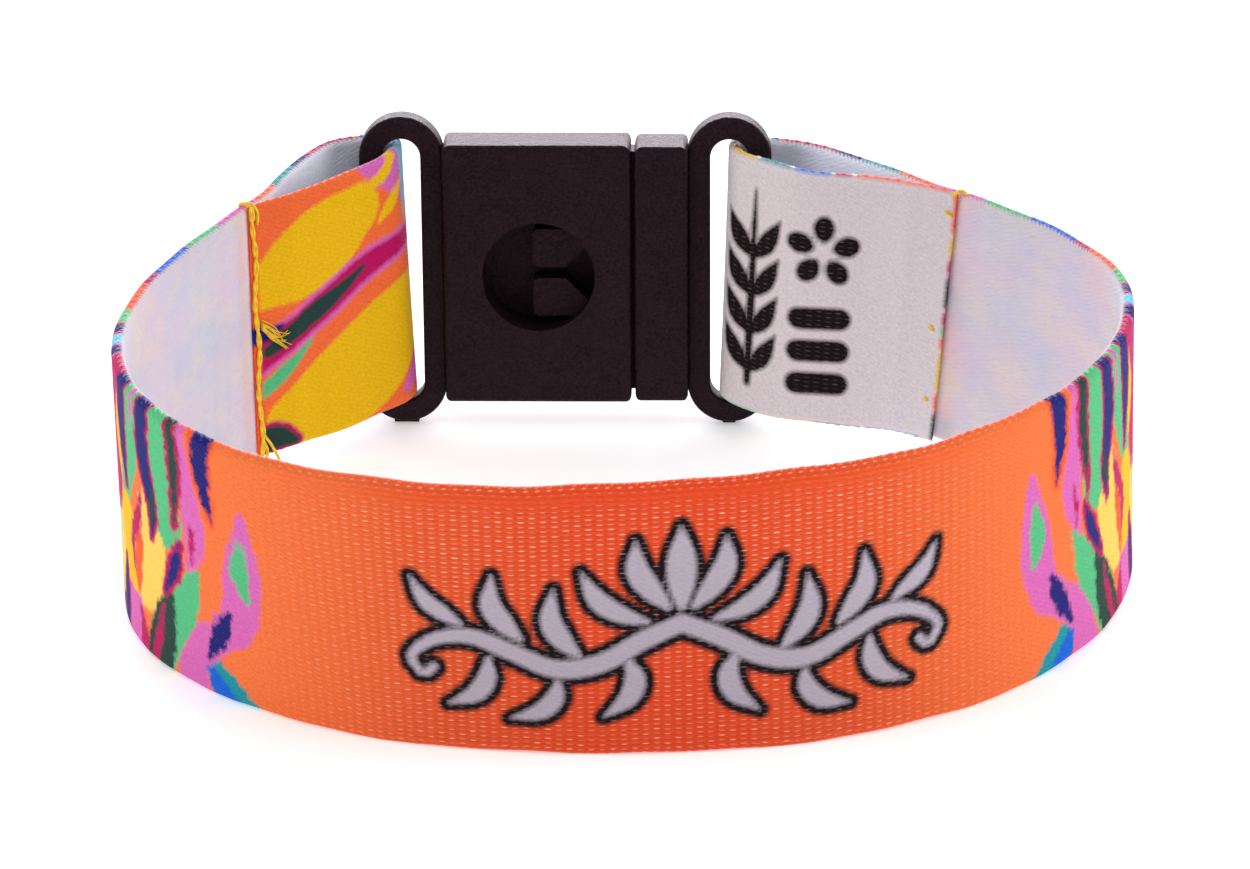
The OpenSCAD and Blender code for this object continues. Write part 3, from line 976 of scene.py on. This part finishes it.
        # Painted light: inside both folds the pale face is brightened towards bluish white, standing in for
        # light that comes through the cloth.
        fold_light = along.ramp(*self.left_fold_light) + along.ramp(*self.right_fold_light)
        cloth = b.blend(fold_light * 0.8, cloth, self.fold_light)
        ticks = ((b.noise(b.vector(along * 1.1 + 50.0, height * 5.0), 1.0, 2.0) - 0.55) * 6.0).clamp()
        cloth = b.blend(ticks * 0.3, cloth, self.tick)
        cloth = b.tone(cloth, 0.97 + (line - 0.5) * 0.035 + (fleck - 0.5) * 0.08 + (yarn - 0.5) * 0.1)
        rim = (height - self.middle).size().ramp(*self.wrapped)
        tooth = ((along - height * 0.8) / 0.36 + fleck * 0.8).wave()
        wrap = (at.side * 2.4 + 1.9 + (tooth - 0.5) * 0.7 + (fleck - 0.5) * 1.2).clamp() * rim
        return b.blend(wrap * 0.8, cloth, paint)

    def dashes(self, at: Spot) -> Wire:
        """Draws the short stretches of weft that show between the warp yarns, lightened as painted
        highlights.

        Args:
            at: the place on the ribbon.

        Returns:
            How strong the weft's dash and its painted highlight are, from 0 to 1.
        """
        column = at.along / self.column
        cell = column.floor()
        level = at.height / self.row + (cell % 2.0) * 0.12
        line = level.floor()
        spark = at.b.dots(cell, line)
        weave = ((cell + line) % 2.0) * 0.55 + 0.45
        across = (column.fraction() - 0.5) / 0.38
        upward = (level.fraction() - 0.5) / 0.18
        dash = (1.0 - across * across - upward * upward).clamp()
        return dash * (0.4 + spark * 0.6) * weave * at.height.ramp(19.2, 17.9)

    def edge_glints(self, at: Spot) -> Wire:
        """Draws the two rows of small bright spots inside the upper and the lower edge.

        Args:
            at: the place on the ribbon.

        Returns:
            How bright they are, from 0 to 1.
        """
        from_edge = self.middle - (at.height - self.middle).size()
        level = from_edge / 0.3
        x = (((at.along + from_edge * 0.7) / 0.75 + level.floor() * 0.5).fraction() - 0.5) / 0.24
        y = (level.fraction() - 0.5) / 0.2
        near = ((0.62 - from_edge) * 2.4).clamp()
        return (1.0 - x * x - y * y).clamp() * near


@dataclass(frozen=True)
class EdgeYarn:
    """The finish of the loops of weft along the woven edges."""

    glint: tuple = (255, 222, 200)
    relief: float = 0.00002

    def build(self) -> bpy.types.Material:
        """Makes the material.

        Returns:
            The material.
        """
        b = Bench("edge_yarn")
        x, y, _ = b.split("local")
        fibre = b.noise(b.vector(x * 2.0, y * 8.0), 1.0, 2.0)
        glint = (1.0 - ((x - 0.3) / 0.4).size()).clamp() * (1.0 - (y / 0.7).size()).clamp()
        colour = b.blend(glint * 0.08, b.wire(b.attribute("tint"), "Color"), self.glint)
        colour = b.tone(colour, 0.95 + fibre * 0.2)
        return b.finish(fibre, self.relief, {"Base Color": colour, "Roughness": 0.65, "Sheen Weight": 0.1})


@dataclass(frozen=True)
class SewingThread:
    """The finish of the yellow sewing thread: two twisted plies, with painted shade in the grooves between
    them.
    """

    colour: tuple = (255, 216, 10)
    deep: tuple = (214, 150, 0)
    twist: float = 0.9
    relief: float = 0.00006

    def build(self) -> bpy.types.Material:
        """Makes the material.

        Returns:
            The material.
        """
        b = Bench("sewing_thread")
        along, cosine, sine = b.split("local")
        angle = along * (2 * math.pi / self.twist)
        ply = b.math("SINE", angle) * cosine + b.math("COSINE", angle) * sine
        fibre = b.noise(b.vector(along * 3.0, cosine * 2.0, sine * 2.0), 3.0, 3.0)
        # Painted shade: a deeper yellow in the grooves between the plies, with a random fibre tone on top.
        dark = (0.55 - ply * 0.5 + (fibre - 0.5) * 0.6).clamp()
        colour = b.blend(dark * 0.5, self.colour, self.deep)
        values = {"Base Color": colour, "Roughness": 0.55, "Sheen Weight": 0.1}
        return b.finish(ply * 0.5 + fibre * 0.4, self.relief, values)


@dataclass(frozen=True)
class FrayedYarn:
    """The finish of the loose yarn ends at the cut edges, in the print's own colours."""

    bleached: tuple = (250, 240, 240)
    relief: float = 0.00002

    def build(self) -> bpy.types.Material:
        """Makes the material.

        Returns:
            The material.
        """
        b = Bench("frayed_yarn")
        x, y, z = b.split("local")
        fibre = b.noise(b.vector(x * 4.0, y * 3.0, z * 3.0), 2.0, 2.0)
        colour = b.blend(fibre * 0.12, b.wire(b.attribute("tint"), "Color"), self.bleached)
        return b.finish(fibre, self.relief, {"Base Color": colour, "Roughness": 0.75, "Sheen Weight": 0.1})


@dataclass(frozen=True)
class MouldedPlastic:
    """The buckle's finish: brown-black moulding with a fine spark-eroded grain."""

    colour: tuple = (13, 5, 7)
    worn: tuple = (37, 24, 27)
    sheen_tint: tuple = (255, 224, 248)
    grain: float = 4600.0
    relief: float = 0.00017

    def build(self) -> bpy.types.Material:
        """Makes the material.

        Returns:
            The material.
        """
        b = Bench("moulded_plastic")
        place = b.wire(b.node("ShaderNodeTexCoord"), "Object")
        grain = b.noise(place, self.grain, 2.0, 0.6)
        patch = b.noise(place, self.grain / 9, 3.0, 0.6)
        pit = ((grain - 0.5) * 2.6 + (patch - 0.5) * 0.8 + 0.6).clamp()
        values = {
            "Base Color": b.blend(pit, self.colour, self.worn),
            "Roughness": 0.29 + grain * 0.22,
            "Specular IOR Level": 0.12,
            "Specular Tint": rgb(self.sheen_tint),
        }
        return b.finish(grain * 0.7 + patch * 0.3, self.relief, values)


def new_object(name: str, bm: bmesh.types.BMesh, material: bpy.types.Material) -> bpy.types.Object:
    """Turns a bmesh in metres into an object of the scene.

    Args:
        name: the object's name.
        bm: its mesh, which is freed.
        material: its finish.

    Returns:
        The object.
    """
    mesh = bpy.data.meshes.new(name)
    bm.to_mesh(mesh)
    bm.free()
    mesh.materials.append(material)
    made = bpy.data.objects.new(name, mesh)
    bpy.context.scene.collection.objects.link(made)
    return made


def new_piece(name: str, bm: bmesh.types.BMesh, material: bpy.types.Material) -> bpy.types.Object:
    """Turns a bmesh in millimetres into a smooth piece of the ribbon that rides on the body.

    Args:
        name: the piece's name.
        bm: its mesh, which is freed.
        material: its finish.

    Returns:
        The piece.
    """
    bmesh.ops.scale(bm, vec=(MM, MM, MM), verts=bm.verts)
    piece = new_object(name, bm, material)
    piece.data.shade_smooth()
    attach(piece, "root")
    return piece


def place_points(bm: bmesh.types.BMesh, points: np.ndarray, name: str, vectors: np.ndarray) -> None:
    """Moves the points of a bmesh and gives each one a vector.

    Args:
        bm: the mesh.
        points: where they go, one row each.
        name: the name of the vectors' layer.
        vectors: one row for each point.
    """
    layer = bm.verts.layers.float_vector.new(name)
    for vert, point, vector in zip(bm.verts, points, vectors):
        vert.co = point
        vert[layer] = tuple(vector)


def read_vectors(mesh: bpy.types.Mesh, name: str) -> np.ndarray:
    """Reads a vector attribute of a mesh's points.

    Args:
        mesh: the mesh.
        name: the attribute's name.

    Returns:
        The vectors, one row each.
    """
    values = np.zeros(len(mesh.vertices) * 3, np.float32)
    mesh.attributes[name].data.foreach_get("vector", values)
    return values.reshape(-1, 3).astype(float)


def write_colours(
    mesh: bpy.types.Mesh, name: str, colours: np.ndarray, alpha: np.ndarray | float = 1.0
) -> None:
    """Writes a colour attribute of a mesh's points.

    Args:
        mesh: the mesh.
        name: the attribute's name.
        colours: linear colour, one row for each point.
        alpha: the fourth value.
    """
    values = np.ones((len(mesh.vertices), 4), np.float32)
    values[:, :3] = colours
    values[:, 3] = alpha
    mesh.attributes.new(name, "FLOAT_COLOR", "POINT").data.foreach_set("color", values.ravel())


@dataclass
class Ribbon:
    """The printed ribbon as one closed sheet with rounded woven edges.

    The rows of the pale face are millimetres below the upper edge, then above the lower one. A stain is
    where it lies along the ribbon, how far it spreads and how strong it is.
    """

    route: Route
    design: Print
    column: float = 0.3
    row: float = 0.3
    corner_steps: int = 3
    left_reach: float = 0.4
    right_reach: float = 0.2
    weld: float = 0.002
    inner_up: tuple = (0.75, 1.1, 1.6, 2.6, 4.4, 6.4, 8.4, 10.2)
    inner_low: tuple = (8.0, 6.0, 4.2, 2.6, 1.6, 1.1, 0.75)
    blur_turns: int = 9
    blur_reach: float = 0.9
    blur_angle: float = 2.4
    shows_through: float = 0.09
    left_stain: tuple[float, float, float] = (36.4, 0.35, 0.24)
    right_stain: tuple[float, float, float] = (181.8, 1.1, 0.14)

    def profile(self) -> np.ndarray:
        """Gives the ribbon's section, from the lower edge up the printed face and down the pale one.

        Returns:
            Rows of height, out and side, where side is 1 on the printed face and -1 on the pale one.
        """
        half, width = self.route.half, self.route.width
        corner = [math.pi / 2 * k / self.corner_steps for k in range(self.corner_steps + 1)]
        low = [(half - half * math.cos(a), half * math.sin(a), math.sin(a)) for a in corner[:-1]]
        count = round((width - 2 * half) / self.row)
        face = [(half + (width - 2 * half) * k / count, half, 1.0) for k in range(count + 1)]
        top = [(width - half + half * math.sin(a), half * math.cos(a), math.cos(a)) for a in corner[1:]]
        back_top = [(h, -o, -s) for h, o, s in reversed(top[:-1])]
        pale = [(width - h, -half, -1.0) for h in (half, *self.inner_up)]
        pale += [(h, -half, -1.0) for h in (*self.inner_low, half)]
        back_low = [(h, -o, -s) for h, o, s in reversed(low[1:])]
        return np.array([*low, *face, *top, *back_top, *pale, *back_low, low[0]])

    def build(self) -> bpy.types.Object:
        """Makes the ribbon.

        Returns:
            The piece.
        """
        rows = self.profile()
        start, stop = -self.left_reach, self.route.length + self.right_reach
        columns = round((stop - start) / self.column)
        bm = bmesh.new()
        bmesh.ops.create_grid(bm, x_segments=columns, y_segments=len(rows) - 1, size=0.5)
        spots = np.array([v.co for v in bm.verts])
        along = start + (spots[:, 0] + 0.5) * (stop - start)
        index = np.rint((spots[:, 1] + 0.5) * (len(rows) - 1)).astype(int)
        height, out, side = rows[index].T
        place_points(bm, self.route.place(along, height, out), "flat", np.stack([along, height, side], 1))
        bmesh.ops.remove_doubles(bm, verts=bm.verts, dist=self.weld)
        cut = [e for e in bm.edges if e.is_boundary]
        bmesh.ops.holes_fill(bm, edges=cut, sides=0)
        for edge in cut:
            edge.smooth = False
        bmesh.ops.triangulate(bm, faces=[f for f in bm.faces if len(f.verts) > 4])
        bmesh.ops.recalc_face_normals(bm, faces=bm.faces)
        piece = new_piece("ribbon", bm, PrintedWeave().build())
        self.ink(piece.data)
        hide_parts("strap")
        return piece

    def ink(self, mesh: bpy.types.Mesh) -> None:
        """Writes the print's layers and the colour that shows through to the pale side.

        Args:
            mesh: the ribbon's mesh, with its flat coordinates.
        """
        flat = read_vectors(mesh, "flat")
        for layer, (colour, depth) in enumerate(self.design.layer_fields(flat[:, 0], flat[:, 1])):
            write_colours(mesh, f"ink_{layer}", colour, np.clip(depth + 0.5, 0, 1))
        blurred = np.zeros((len(flat), 3))
        for turn in range(self.blur_turns):
            reach, angle = self.blur_reach * math.sqrt(turn), self.blur_angle * turn
            height = np.clip(flat[:, 1] + reach * math.sin(angle), 0, self.route.width)
            blurred += self.design.colour_at(flat[:, 0] + reach * math.cos(angle), height) / self.blur_turns
        seen = np.full(len(flat), self.shows_through)
        amber = (Ink.ORANGE.linear() + Ink.YELLOW.linear()) / 2
        spill = self.design.spill_colours(flat[:, 1])
        for (at, reach, strength), tint in ((self.left_stain, amber), (self.right_stain, spill)):
            stain = np.exp(-(((flat[:, 0] - at) / reach) ** 2))
            blurred += stain[:, None] * (tint - blurred)
            seen += stain * strength
        write_colours(mesh, "shade", blurred, seen)


@dataclass
class WovenEdges:
    """The loops of weft that turn round both edges of the ribbon."""

    route: Route
    design: Print
    period: float = 0.4
    across: int = 7
    rings: int = 4
    half_length: float = 0.31
    half_height: float = 0.16
    slant: float = 0.16
    wrap: float = 0.34
    bow: float = 0.8
    proud: float = 0.05
    sizes: tuple[float, float] = (0.3, 0.9)
    every_other: float = 0.8
    jitter: float = 0.02
    inset: float = 0.05
    seed: int = 3

    def build(self) -> bpy.types.Object:
        """Makes the loops of both edges, as small slanted lumps on the crest.

        Returns:
            The piece.
        """
        rng = np.random.default_rng(self.seed)
        count = int(self.route.length / self.period)
        bm = bmesh.new()
        bmesh.ops.create_uvsphere(bm, u_segments=self.across, v_segments=self.rings, radius=1)
        loop = multiply(bm, 2 * count)
        spots = np.array([v.co for v in bm.verts])
        edge = np.where(loop < count, 1, -1)
        size = (rng.uniform(*self.sizes, 2 * count) + self.every_other * (np.arange(2 * count) % 2))[loop]
        middle = (loop % count + 0.5) * self.period + rng.normal(0, self.jitter, 2 * count)[loop]
        along = middle + self.half_length * spots[:, 0] + self.slant * spots[:, 2]
        up = self.proud * size + self.half_height * (spots[:, 1] * edge - 1)
        crown = 1 - np.sqrt(np.clip(1 - (self.bow * spots[:, 2]) ** 2, 0, 1))
        half = self.route.width / 2
        height = half + edge * (half + up - self.route.half * crown)
        points = self.route.place(along, height, self.wrap * spots[:, 2])
        place_points(bm, points, "local", spots[:, [2, 0, 1]])
        bmesh.ops.recalc_face_normals(bm, faces=bm.faces)
        piece = new_piece("woven_edges", bm, EdgeYarn().build())
        inner = np.where(edge > 0, self.route.width - self.inset, self.inset)
        write_colours(piece.data, "tint", self.design.colour_at(middle, inner))
        return piece


def multiply(bm: bmesh.types.BMesh, count: int) -> np.ndarray:
    """Copies what a bmesh holds in place until it is there count times.

    Args:
        bm: the mesh.
        count: how many copies there are at the end.

    Returns:
        The number of the copy that each vertex belongs to.
    """
    number = bm.verts.layers.int.new("number")
    copies = 1
    while copies < count:
        for item in bmesh.ops.duplicate(bm, geom=[*bm.verts, *bm.edges, *bm.faces])["geom"]:
            if isinstance(item, bmesh.types.BMVert):
                item[number] += copies
        copies *= 2
    bmesh.ops.delete(bm, geom=[v for v in bm.verts if v[number] >= count], context="VERTS")
    found = np.array([v[number] for v in bm.verts])
    bm.verts.layers.int.remove(number)
    return found


def tube(bm: bmesh.types.BMesh, path: np.ndarray, radii: np.ndarray, sides: int) -> None:
    """Draws a round yarn along a path by extruding a ring, and adds it to a mesh.

    Args:
        bm: the mesh that it joins, which has a vector layer "local" for length, cosine and sine.
        path: the points of its middle, in millimetres.
        radii: its radius at each point.
        sides: the ring's corners.
    """
    yarn = bmesh.new()
    local = yarn.verts.layers.float_vector.new("local")
    made = bmesh.ops.create_circle(yarn, cap_ends=True, radius=1, segments=sides)["verts"]
    ring = np.array([v.co for v in made])
    edges = list(yarn.edges)
    way = np.gradient(path, axis=0)
    way /= np.linalg.norm(way, axis=1, keepdims=True)
    turn = Vector((0, 0, 1)).rotation_difference(Vector(way[0]))
    length = 0.0
    for k, point in enumerate(path):
        if k:
            grown = bmesh.ops.extrude_edge_only(yarn, edges=edges)["geom"]
            made = [g for g in grown if isinstance(g, bmesh.types.BMVert)]
            edges = [g for g in grown if isinstance(g, bmesh.types.BMEdge)]
            edges = [e for e in edges if all(v in made for v in e.verts)]
            turn = Vector(way[k - 1]).rotation_difference(Vector(way[k])) @ turn
            length += float(np.linalg.norm(path[k] - path[k - 1]))
        for vert, spot in zip(made, ring):
            vert.co = Vector(point) + turn @ (Vector(spot) * float(radii[k]))
            vert[local] = (length, spot[0], spot[1])
    bmesh.ops.edgenet_fill(yarn, edges=edges)
    bmesh.ops.recalc_face_normals(yarn, faces=yarn.faces)
    mesh = bpy.data.meshes.new("yarn")
    yarn.to_mesh(mesh)
    yarn.free()
    bm.from_mesh(mesh)
    bpy.data.meshes.remove(mesh)


@dataclass
class Stitches:
    """Sewing thread that lies on the ribbon, as tubes that one mesh gathers."""

    route: Route
    name: str
    bm: bmesh.types.BMesh = field(default_factory=bmesh.new)

    def __post_init__(self) -> None:
        """Gives the mesh the layer that tubes fill."""
        self.bm.verts.layers.float_vector.new("local")

    def lay(self, flat: np.ndarray, first: float, last: float, sides: int = 8) -> None:
        """Lays a thread.

        Args:
            flat: where it runs, in rows of millimetres along, height and out.
            first: its radius at its start.
            last: its radius at its end.
            sides: the corners of its section.
        """
        path = self.route.place(*np.transpose(flat))
        tube(self.bm, path, np.linspace(first, last, len(path)), sides)

    def finish(self) -> bpy.types.Object:
        """Makes the piece."""
        return new_piece(self.name, self.bm, SewingThread().build())


@dataclass
class LeftSeam:
    """The yellow chain of thread over the left cut edge, its tuft and its loose ends."""

    route: Route
    radius: float = 0.12
    seam: float = -0.08
    sway: float = 0.11
    wave: float = 2.9
    surface: float = 0.75
    top: float = 20.1
    foot: float = -0.1
    step: float = 0.16
    loops: tuple = (
        ((0.05, 18.9, 0.6), (0.0, 19.7, 0.5), (-0.2, 20.1, 0.0), (-0.4, 20.25, -0.7), (-0.5, 20.0, -1.2)),
        ((0.25, 18.5, 0.65), (0.35, 19.3, 0.65), (0.1, 20.0, 0.4), (-0.3, 20.3, -0.4), (-0.5, 20.15, -1.0)),
        ((0.1, 1.2, 0.7), (0.3, 0.4, 1.0), (0.1, -0.4, 1.3), (-0.2, -1.0, 1.4)),
        ((0.2, 1.6, 0.7), (0.6, 0.8, 1.0), (0.9, 0.0, 1.2), (1.1, -0.8, 1.4)),
    )
    tuft: int = 16
    fibre: tuple[float, float] = (0.07, 0.03)
    seed: int = 5

    def strand(self, phase: float) -> np.ndarray:
        """Gives the way of one strand of the chain, from the upper edge to the lower one.

        Args:
            phase: where in its wave it starts.

        Returns:
            Rows of millimetres along, height and out.
        """
        height = np.arange(self.top, self.foot, -self.step)
        angle = 2 * math.pi * height / self.wave + phase
        along = self.seam + self.sway * np.sin(angle) + 0.12 * np.sin(height * 0.9)
        out = self.surface + self.radius * (1.25 + 0.8 * np.cos(angle))
        return np.stack([along, height, out], 1)

    def build(self) -> bpy.types.Object:
        """Makes the thread.

        Returns:
            The piece.
        """
        rng = np.random.default_rng(self.seed)
        thread = Stitches(self.route, "left_seam_thread")
        for phase in (0.0, math.pi):
            thread.lay(self.strand(phase), self.radius, self.radius)
        for loop in self.loops:
            thread.lay(spline(loop, 0.15), self.radius, self.radius)
        for _ in range(self.tuft):
            a, b, c = rng.normal(0, 1, 3)
            fibre = (
                (0.3, 10.6 + 0.2 * a, 0.7),
                (1.2 + 0.2 * b, 9.6 + 0.3 * a, 0.9),
                (2.2 + 0.4 * c, 8.8 + 0.5 * b, 0.8 + 0.15 * a),
            )
            thread.lay(spline(fibre, 0.25), *self.fibre, 5)
        return thread.finish()


@dataclass
class RightSeam:
    """The few stitches that show along the right cut edge, by the distance from it."""

    route: Route
    radius: float = 0.13
    rows: tuple = (
        ((-0.1, 19.6, 0.6), (0.2, 20.1, 0.3), (0.5, 20.15, -0.4), (0.8, 19.8, -0.8)),
        ((-0.5, 18.4, 0.4), (-0.3, 18.3, 0.75), (-0.05, 18.1, 0.5)),
        ((-0.8, 9.2, 0.42), (-0.7, 9.05, 0.66), (-0.6, 8.9, 0.42)),
        ((-0.7, 3.4, 0.42), (-0.6, 3.3, 0.58), (-0.5, 3.2, 0.42)),
    )

    def build(self) -> bpy.types.Object:
        """Makes the stitches.

        Returns:
            The piece.
        """
        thread = Stitches(self.route, "right_seam_thread")
        for row in self.rows:
            flat = [(self.route.length + past, height, out) for past, height, out in row]
            thread.lay(spline(flat, 0.12), self.radius, self.radius)
        return thread.finish()


@dataclass
class CutEdges:
    """The short loose yarns of the two cut ends."""

    route: Route
    design: Print
    pitch: float = 0.3
    rows: int = 3
    radius: float = 0.06
    inset: float = 0.15
    root: float = 0.2
    longer: float = 0.16
    lean: float = 0.16
    out: tuple[float, float] = (-0.45, 0.3)
    seed: int = 11

    def build(self) -> bpy.types.Object:
        """Makes the yarn ends, as small cones that lean at random.

        Returns:
            The piece.
        """
        rng = np.random.default_rng(self.seed)
        per_end = int(self.rows * self.route.width / self.pitch)
        bm = bmesh.new()
        bmesh.ops.create_cone(bm, cap_ends=True, segments=5, radius1=1, radius2=0.6, depth=1)
        bmesh.ops.translate(bm, vec=(0, 0, 0.5), verts=bm.verts)
        yarn = multiply(bm, 2 * per_end)
        spots = np.array([v.co for v in bm.verts])
        way = np.where(yarn < per_end, -1, 1)
        foot = rng.uniform(self.inset, self.route.width - self.inset, 2 * per_end)[yarn]
        reach = rng.uniform(0.0, self.longer, 2 * per_end)[yarn] + self.root
        lean = rng.normal(0, self.lean, (2, 2 * per_end))[:, yarn]
        out = rng.uniform(*self.out, 2 * per_end)[yarn]
        start = np.where(way < 0, -self.root, self.route.length)
        along = start + way * (spots[:, 2] * reach - self.root)
        height = foot + self.radius * spots[:, 0] + lean[0] * spots[:, 2] * reach
        out = out + self.radius * spots[:, 1] + lean[1] * spots[:, 2] * reach
        place_points(bm, self.route.place(along, height, out), "local", spots)
        bmesh.ops.recalc_face_normals(bm, faces=bm.faces)
        piece = new_piece("cut_edge_yarns", bm, FrayedYarn().build())
        left = self.design.colour_at(np.full(len(foot), self.root), foot)
        write_colours(piece.data, "tint", np.where(way[:, None] < 0, left, self.design.spill_colours(foot)))
        return piece


@dataclass
class Buckle:
    """The two moulded halves, which keep their solids and get their finish."""

    nodes: tuple[str, str] = ("buckle_socket", "buckle_plug")

    def dress(self) -> None:
        """Gives both halves the moulded finish."""
        material = MouldedPlastic().build()
        for name in self.nodes:
            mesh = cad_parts[name].data
            mesh.materials.clear()
            mesh.materials.append(material)
            LOG.info("%s dressed", name)


@dataclass(frozen=True)
class Lamp:
    """One soft lamp: where it hangs and what it faces, in metres, its width and height, and its watts."""

    name: str
    at: tuple[float, float, float]
    aim: tuple[float, float, float]
    size: tuple[float, float]
    power: float
    colour: tuple[float, float, float] = (1.0, 1.0, 1.0)

    def hang(self) -> None:
        """Adds the lamp to the scene."""
        data = bpy.data.lights.new(self.name, "AREA")
        data.shape = "RECTANGLE"
        data.size, data.size_y = self.size
        data.energy = self.power
        data.color = self.colour
        lamp = bpy.data.objects.new(self.name, data)
        lamp.location = self.at
        lamp.rotation_mode = "QUATERNION"
        lamp.rotation_quaternion = (Vector(self.aim) - Vector(self.at)).to_track_quat("-Z", "Y")
        bpy.context.scene.collection.objects.link(lamp)


@dataclass
class Studio:
    """A plain pale floor, soft light and the camera."""

    camera_at: tuple[float, float, float] = (-4.99, -315.93, 148.02)
    down: float = 23.5
    roll: float = -0.83
    focal_px: float = 4808.7
    centre: tuple[float, float] = (559.2, 430.05)
    frame_size: tuple[int, int] = (1250, 869)
    sensor: float = 36.0
    clip: tuple[float, float] = (0.01, 10.0)
    floor_half: float = 1.5
    floor_glow: float = 0.36
    floor_relief: float = 0.00001
    floor_colours: tuple = ((250, 250, 250), (246, 246, 247))
    world: float = 0.32
    lamps: tuple = (
        Lamp("top", (0.0, 0.1, 1.0), (0.0, 0.0, 0.0), (1.4, 1.4), 5.4),
        Lamp("back", (0.0, 0.75, 0.23), (0.0, 0.02, 0.02), (0.9, 0.2), 8.7, (1.0, 0.9, 0.98)),
        Lamp("left", (-0.75, -0.15, 0.3), (0.0, -0.01, 0.01), (0.5, 0.5), 2.6),
        Lamp("right", (0.75, -0.15, 0.3), (0.0, -0.01, 0.01), (0.5, 0.5), 3.2),
    )

    def floor(self) -> None:
        """Lays the floor."""
        b = Bench("pale_floor")
        place = b.wire(b.node("ShaderNodeTexCoord"), "Object")
        grain = b.noise(place, 60.0)
        values = {
            "Base Color": b.blend(grain, *self.floor_colours),
            "Roughness": 0.9,
            "Emission Color": (1.0, 1.0, 1.0, 1.0),
            "Emission Strength": self.floor_glow,
        }
        bm = bmesh.new()
        bmesh.ops.create_grid(bm, x_segments=1, y_segments=1, size=self.floor_half)
        new_object("floor", bm, b.finish(grain, self.floor_relief, values))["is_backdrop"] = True

    def lights(self) -> None:
        """Sets the world and the lamps."""
        world = bpy.data.worlds.new("studio")
        world.use_nodes = True
        background = world.node_tree.nodes["Background"]
        background.inputs["Color"].default_value = (1.0, 1.0, 1.0, 1.0)
        background.inputs["Strength"].default_value = self.world
        bpy.context.scene.world = world
        for lamp in self.lamps:
            lamp.hang()
        view = bpy.context.scene.view_settings
        view.view_transform = "Standard"
        view.look = "None"

    def camera(self) -> None:
        """Sets the camera where the photograph was taken, turned so that the frame needs no shift."""
        down, roll = math.radians(self.down), math.radians(self.roll)
        ahead = Vector((0, math.cos(down), -math.sin(down)))
        right = ahead.cross(Vector((0, 0, 1))).normalized()
        up = right.cross(ahead)
        turned_right = math.cos(roll) * right + math.sin(roll) * up
        turned_up = math.cos(roll) * up - math.sin(roll) * right
        off_x = (self.frame_size[0] / 2 - self.centre[0]) / self.focal_px
        off_y = (self.frame_size[1] / 2 - self.centre[1]) / self.focal_px
        ahead = (ahead + off_x * turned_right - off_y * turned_up).normalized()
        turned_right = (turned_right - turned_right.dot(ahead) * ahead).normalized()
        turned_up = turned_right.cross(ahead)
        turn = Matrix((turned_right, turned_up, -ahead)).transposed().to_4x4()
        data = bpy.data.cameras.new("camera")
        data.sensor_width = self.sensor
        data.lens = self.focal_px / self.frame_size[0] * data.sensor_width
        data.clip_start, data.clip_end = self.clip
        camera = bpy.data.objects.new("camera", data)
        camera.matrix_world = Matrix.Translation(Vector(self.camera_at) * MM) @ turn
        bpy.context.scene.collection.objects.link(camera)
        bpy.context.scene.camera = camera


def write_sizes() -> None:
    """Works out the CAD box and the dressed model's box as lists, then drops them."""
    boxes = {"cad": CAD_BOUNDS, "visual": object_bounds()}
    {name: [list(corner) for corner in box] for name, box in boxes.items()}


def main() -> None:
    """Builds every piece in order and reports it."""
    logging.basicConfig(level=logging.INFO, format="%(message)s")
    studio = Studio()
    studio.camera()
    studio.floor()
    studio.lights()
    route = Route()
    design = Print()
    LOG.info("way of %.1f mm, %d strokes", route.length, len(design.strokes))
    ribbon = Ribbon(route, design).build()
    added = [
        WovenEdges(route, design).build(),
        LeftSeam(route).build(),
        RightSeam(route).build(),
        CutEdges(route, design).build(),
    ]
    for piece in (ribbon, *added):
        LOG.info("%s: %d faces", piece.name, len(piece.data.polygons))
    Buckle().dress()
    write_sizes()


if __name__ == "__main__":
    main()
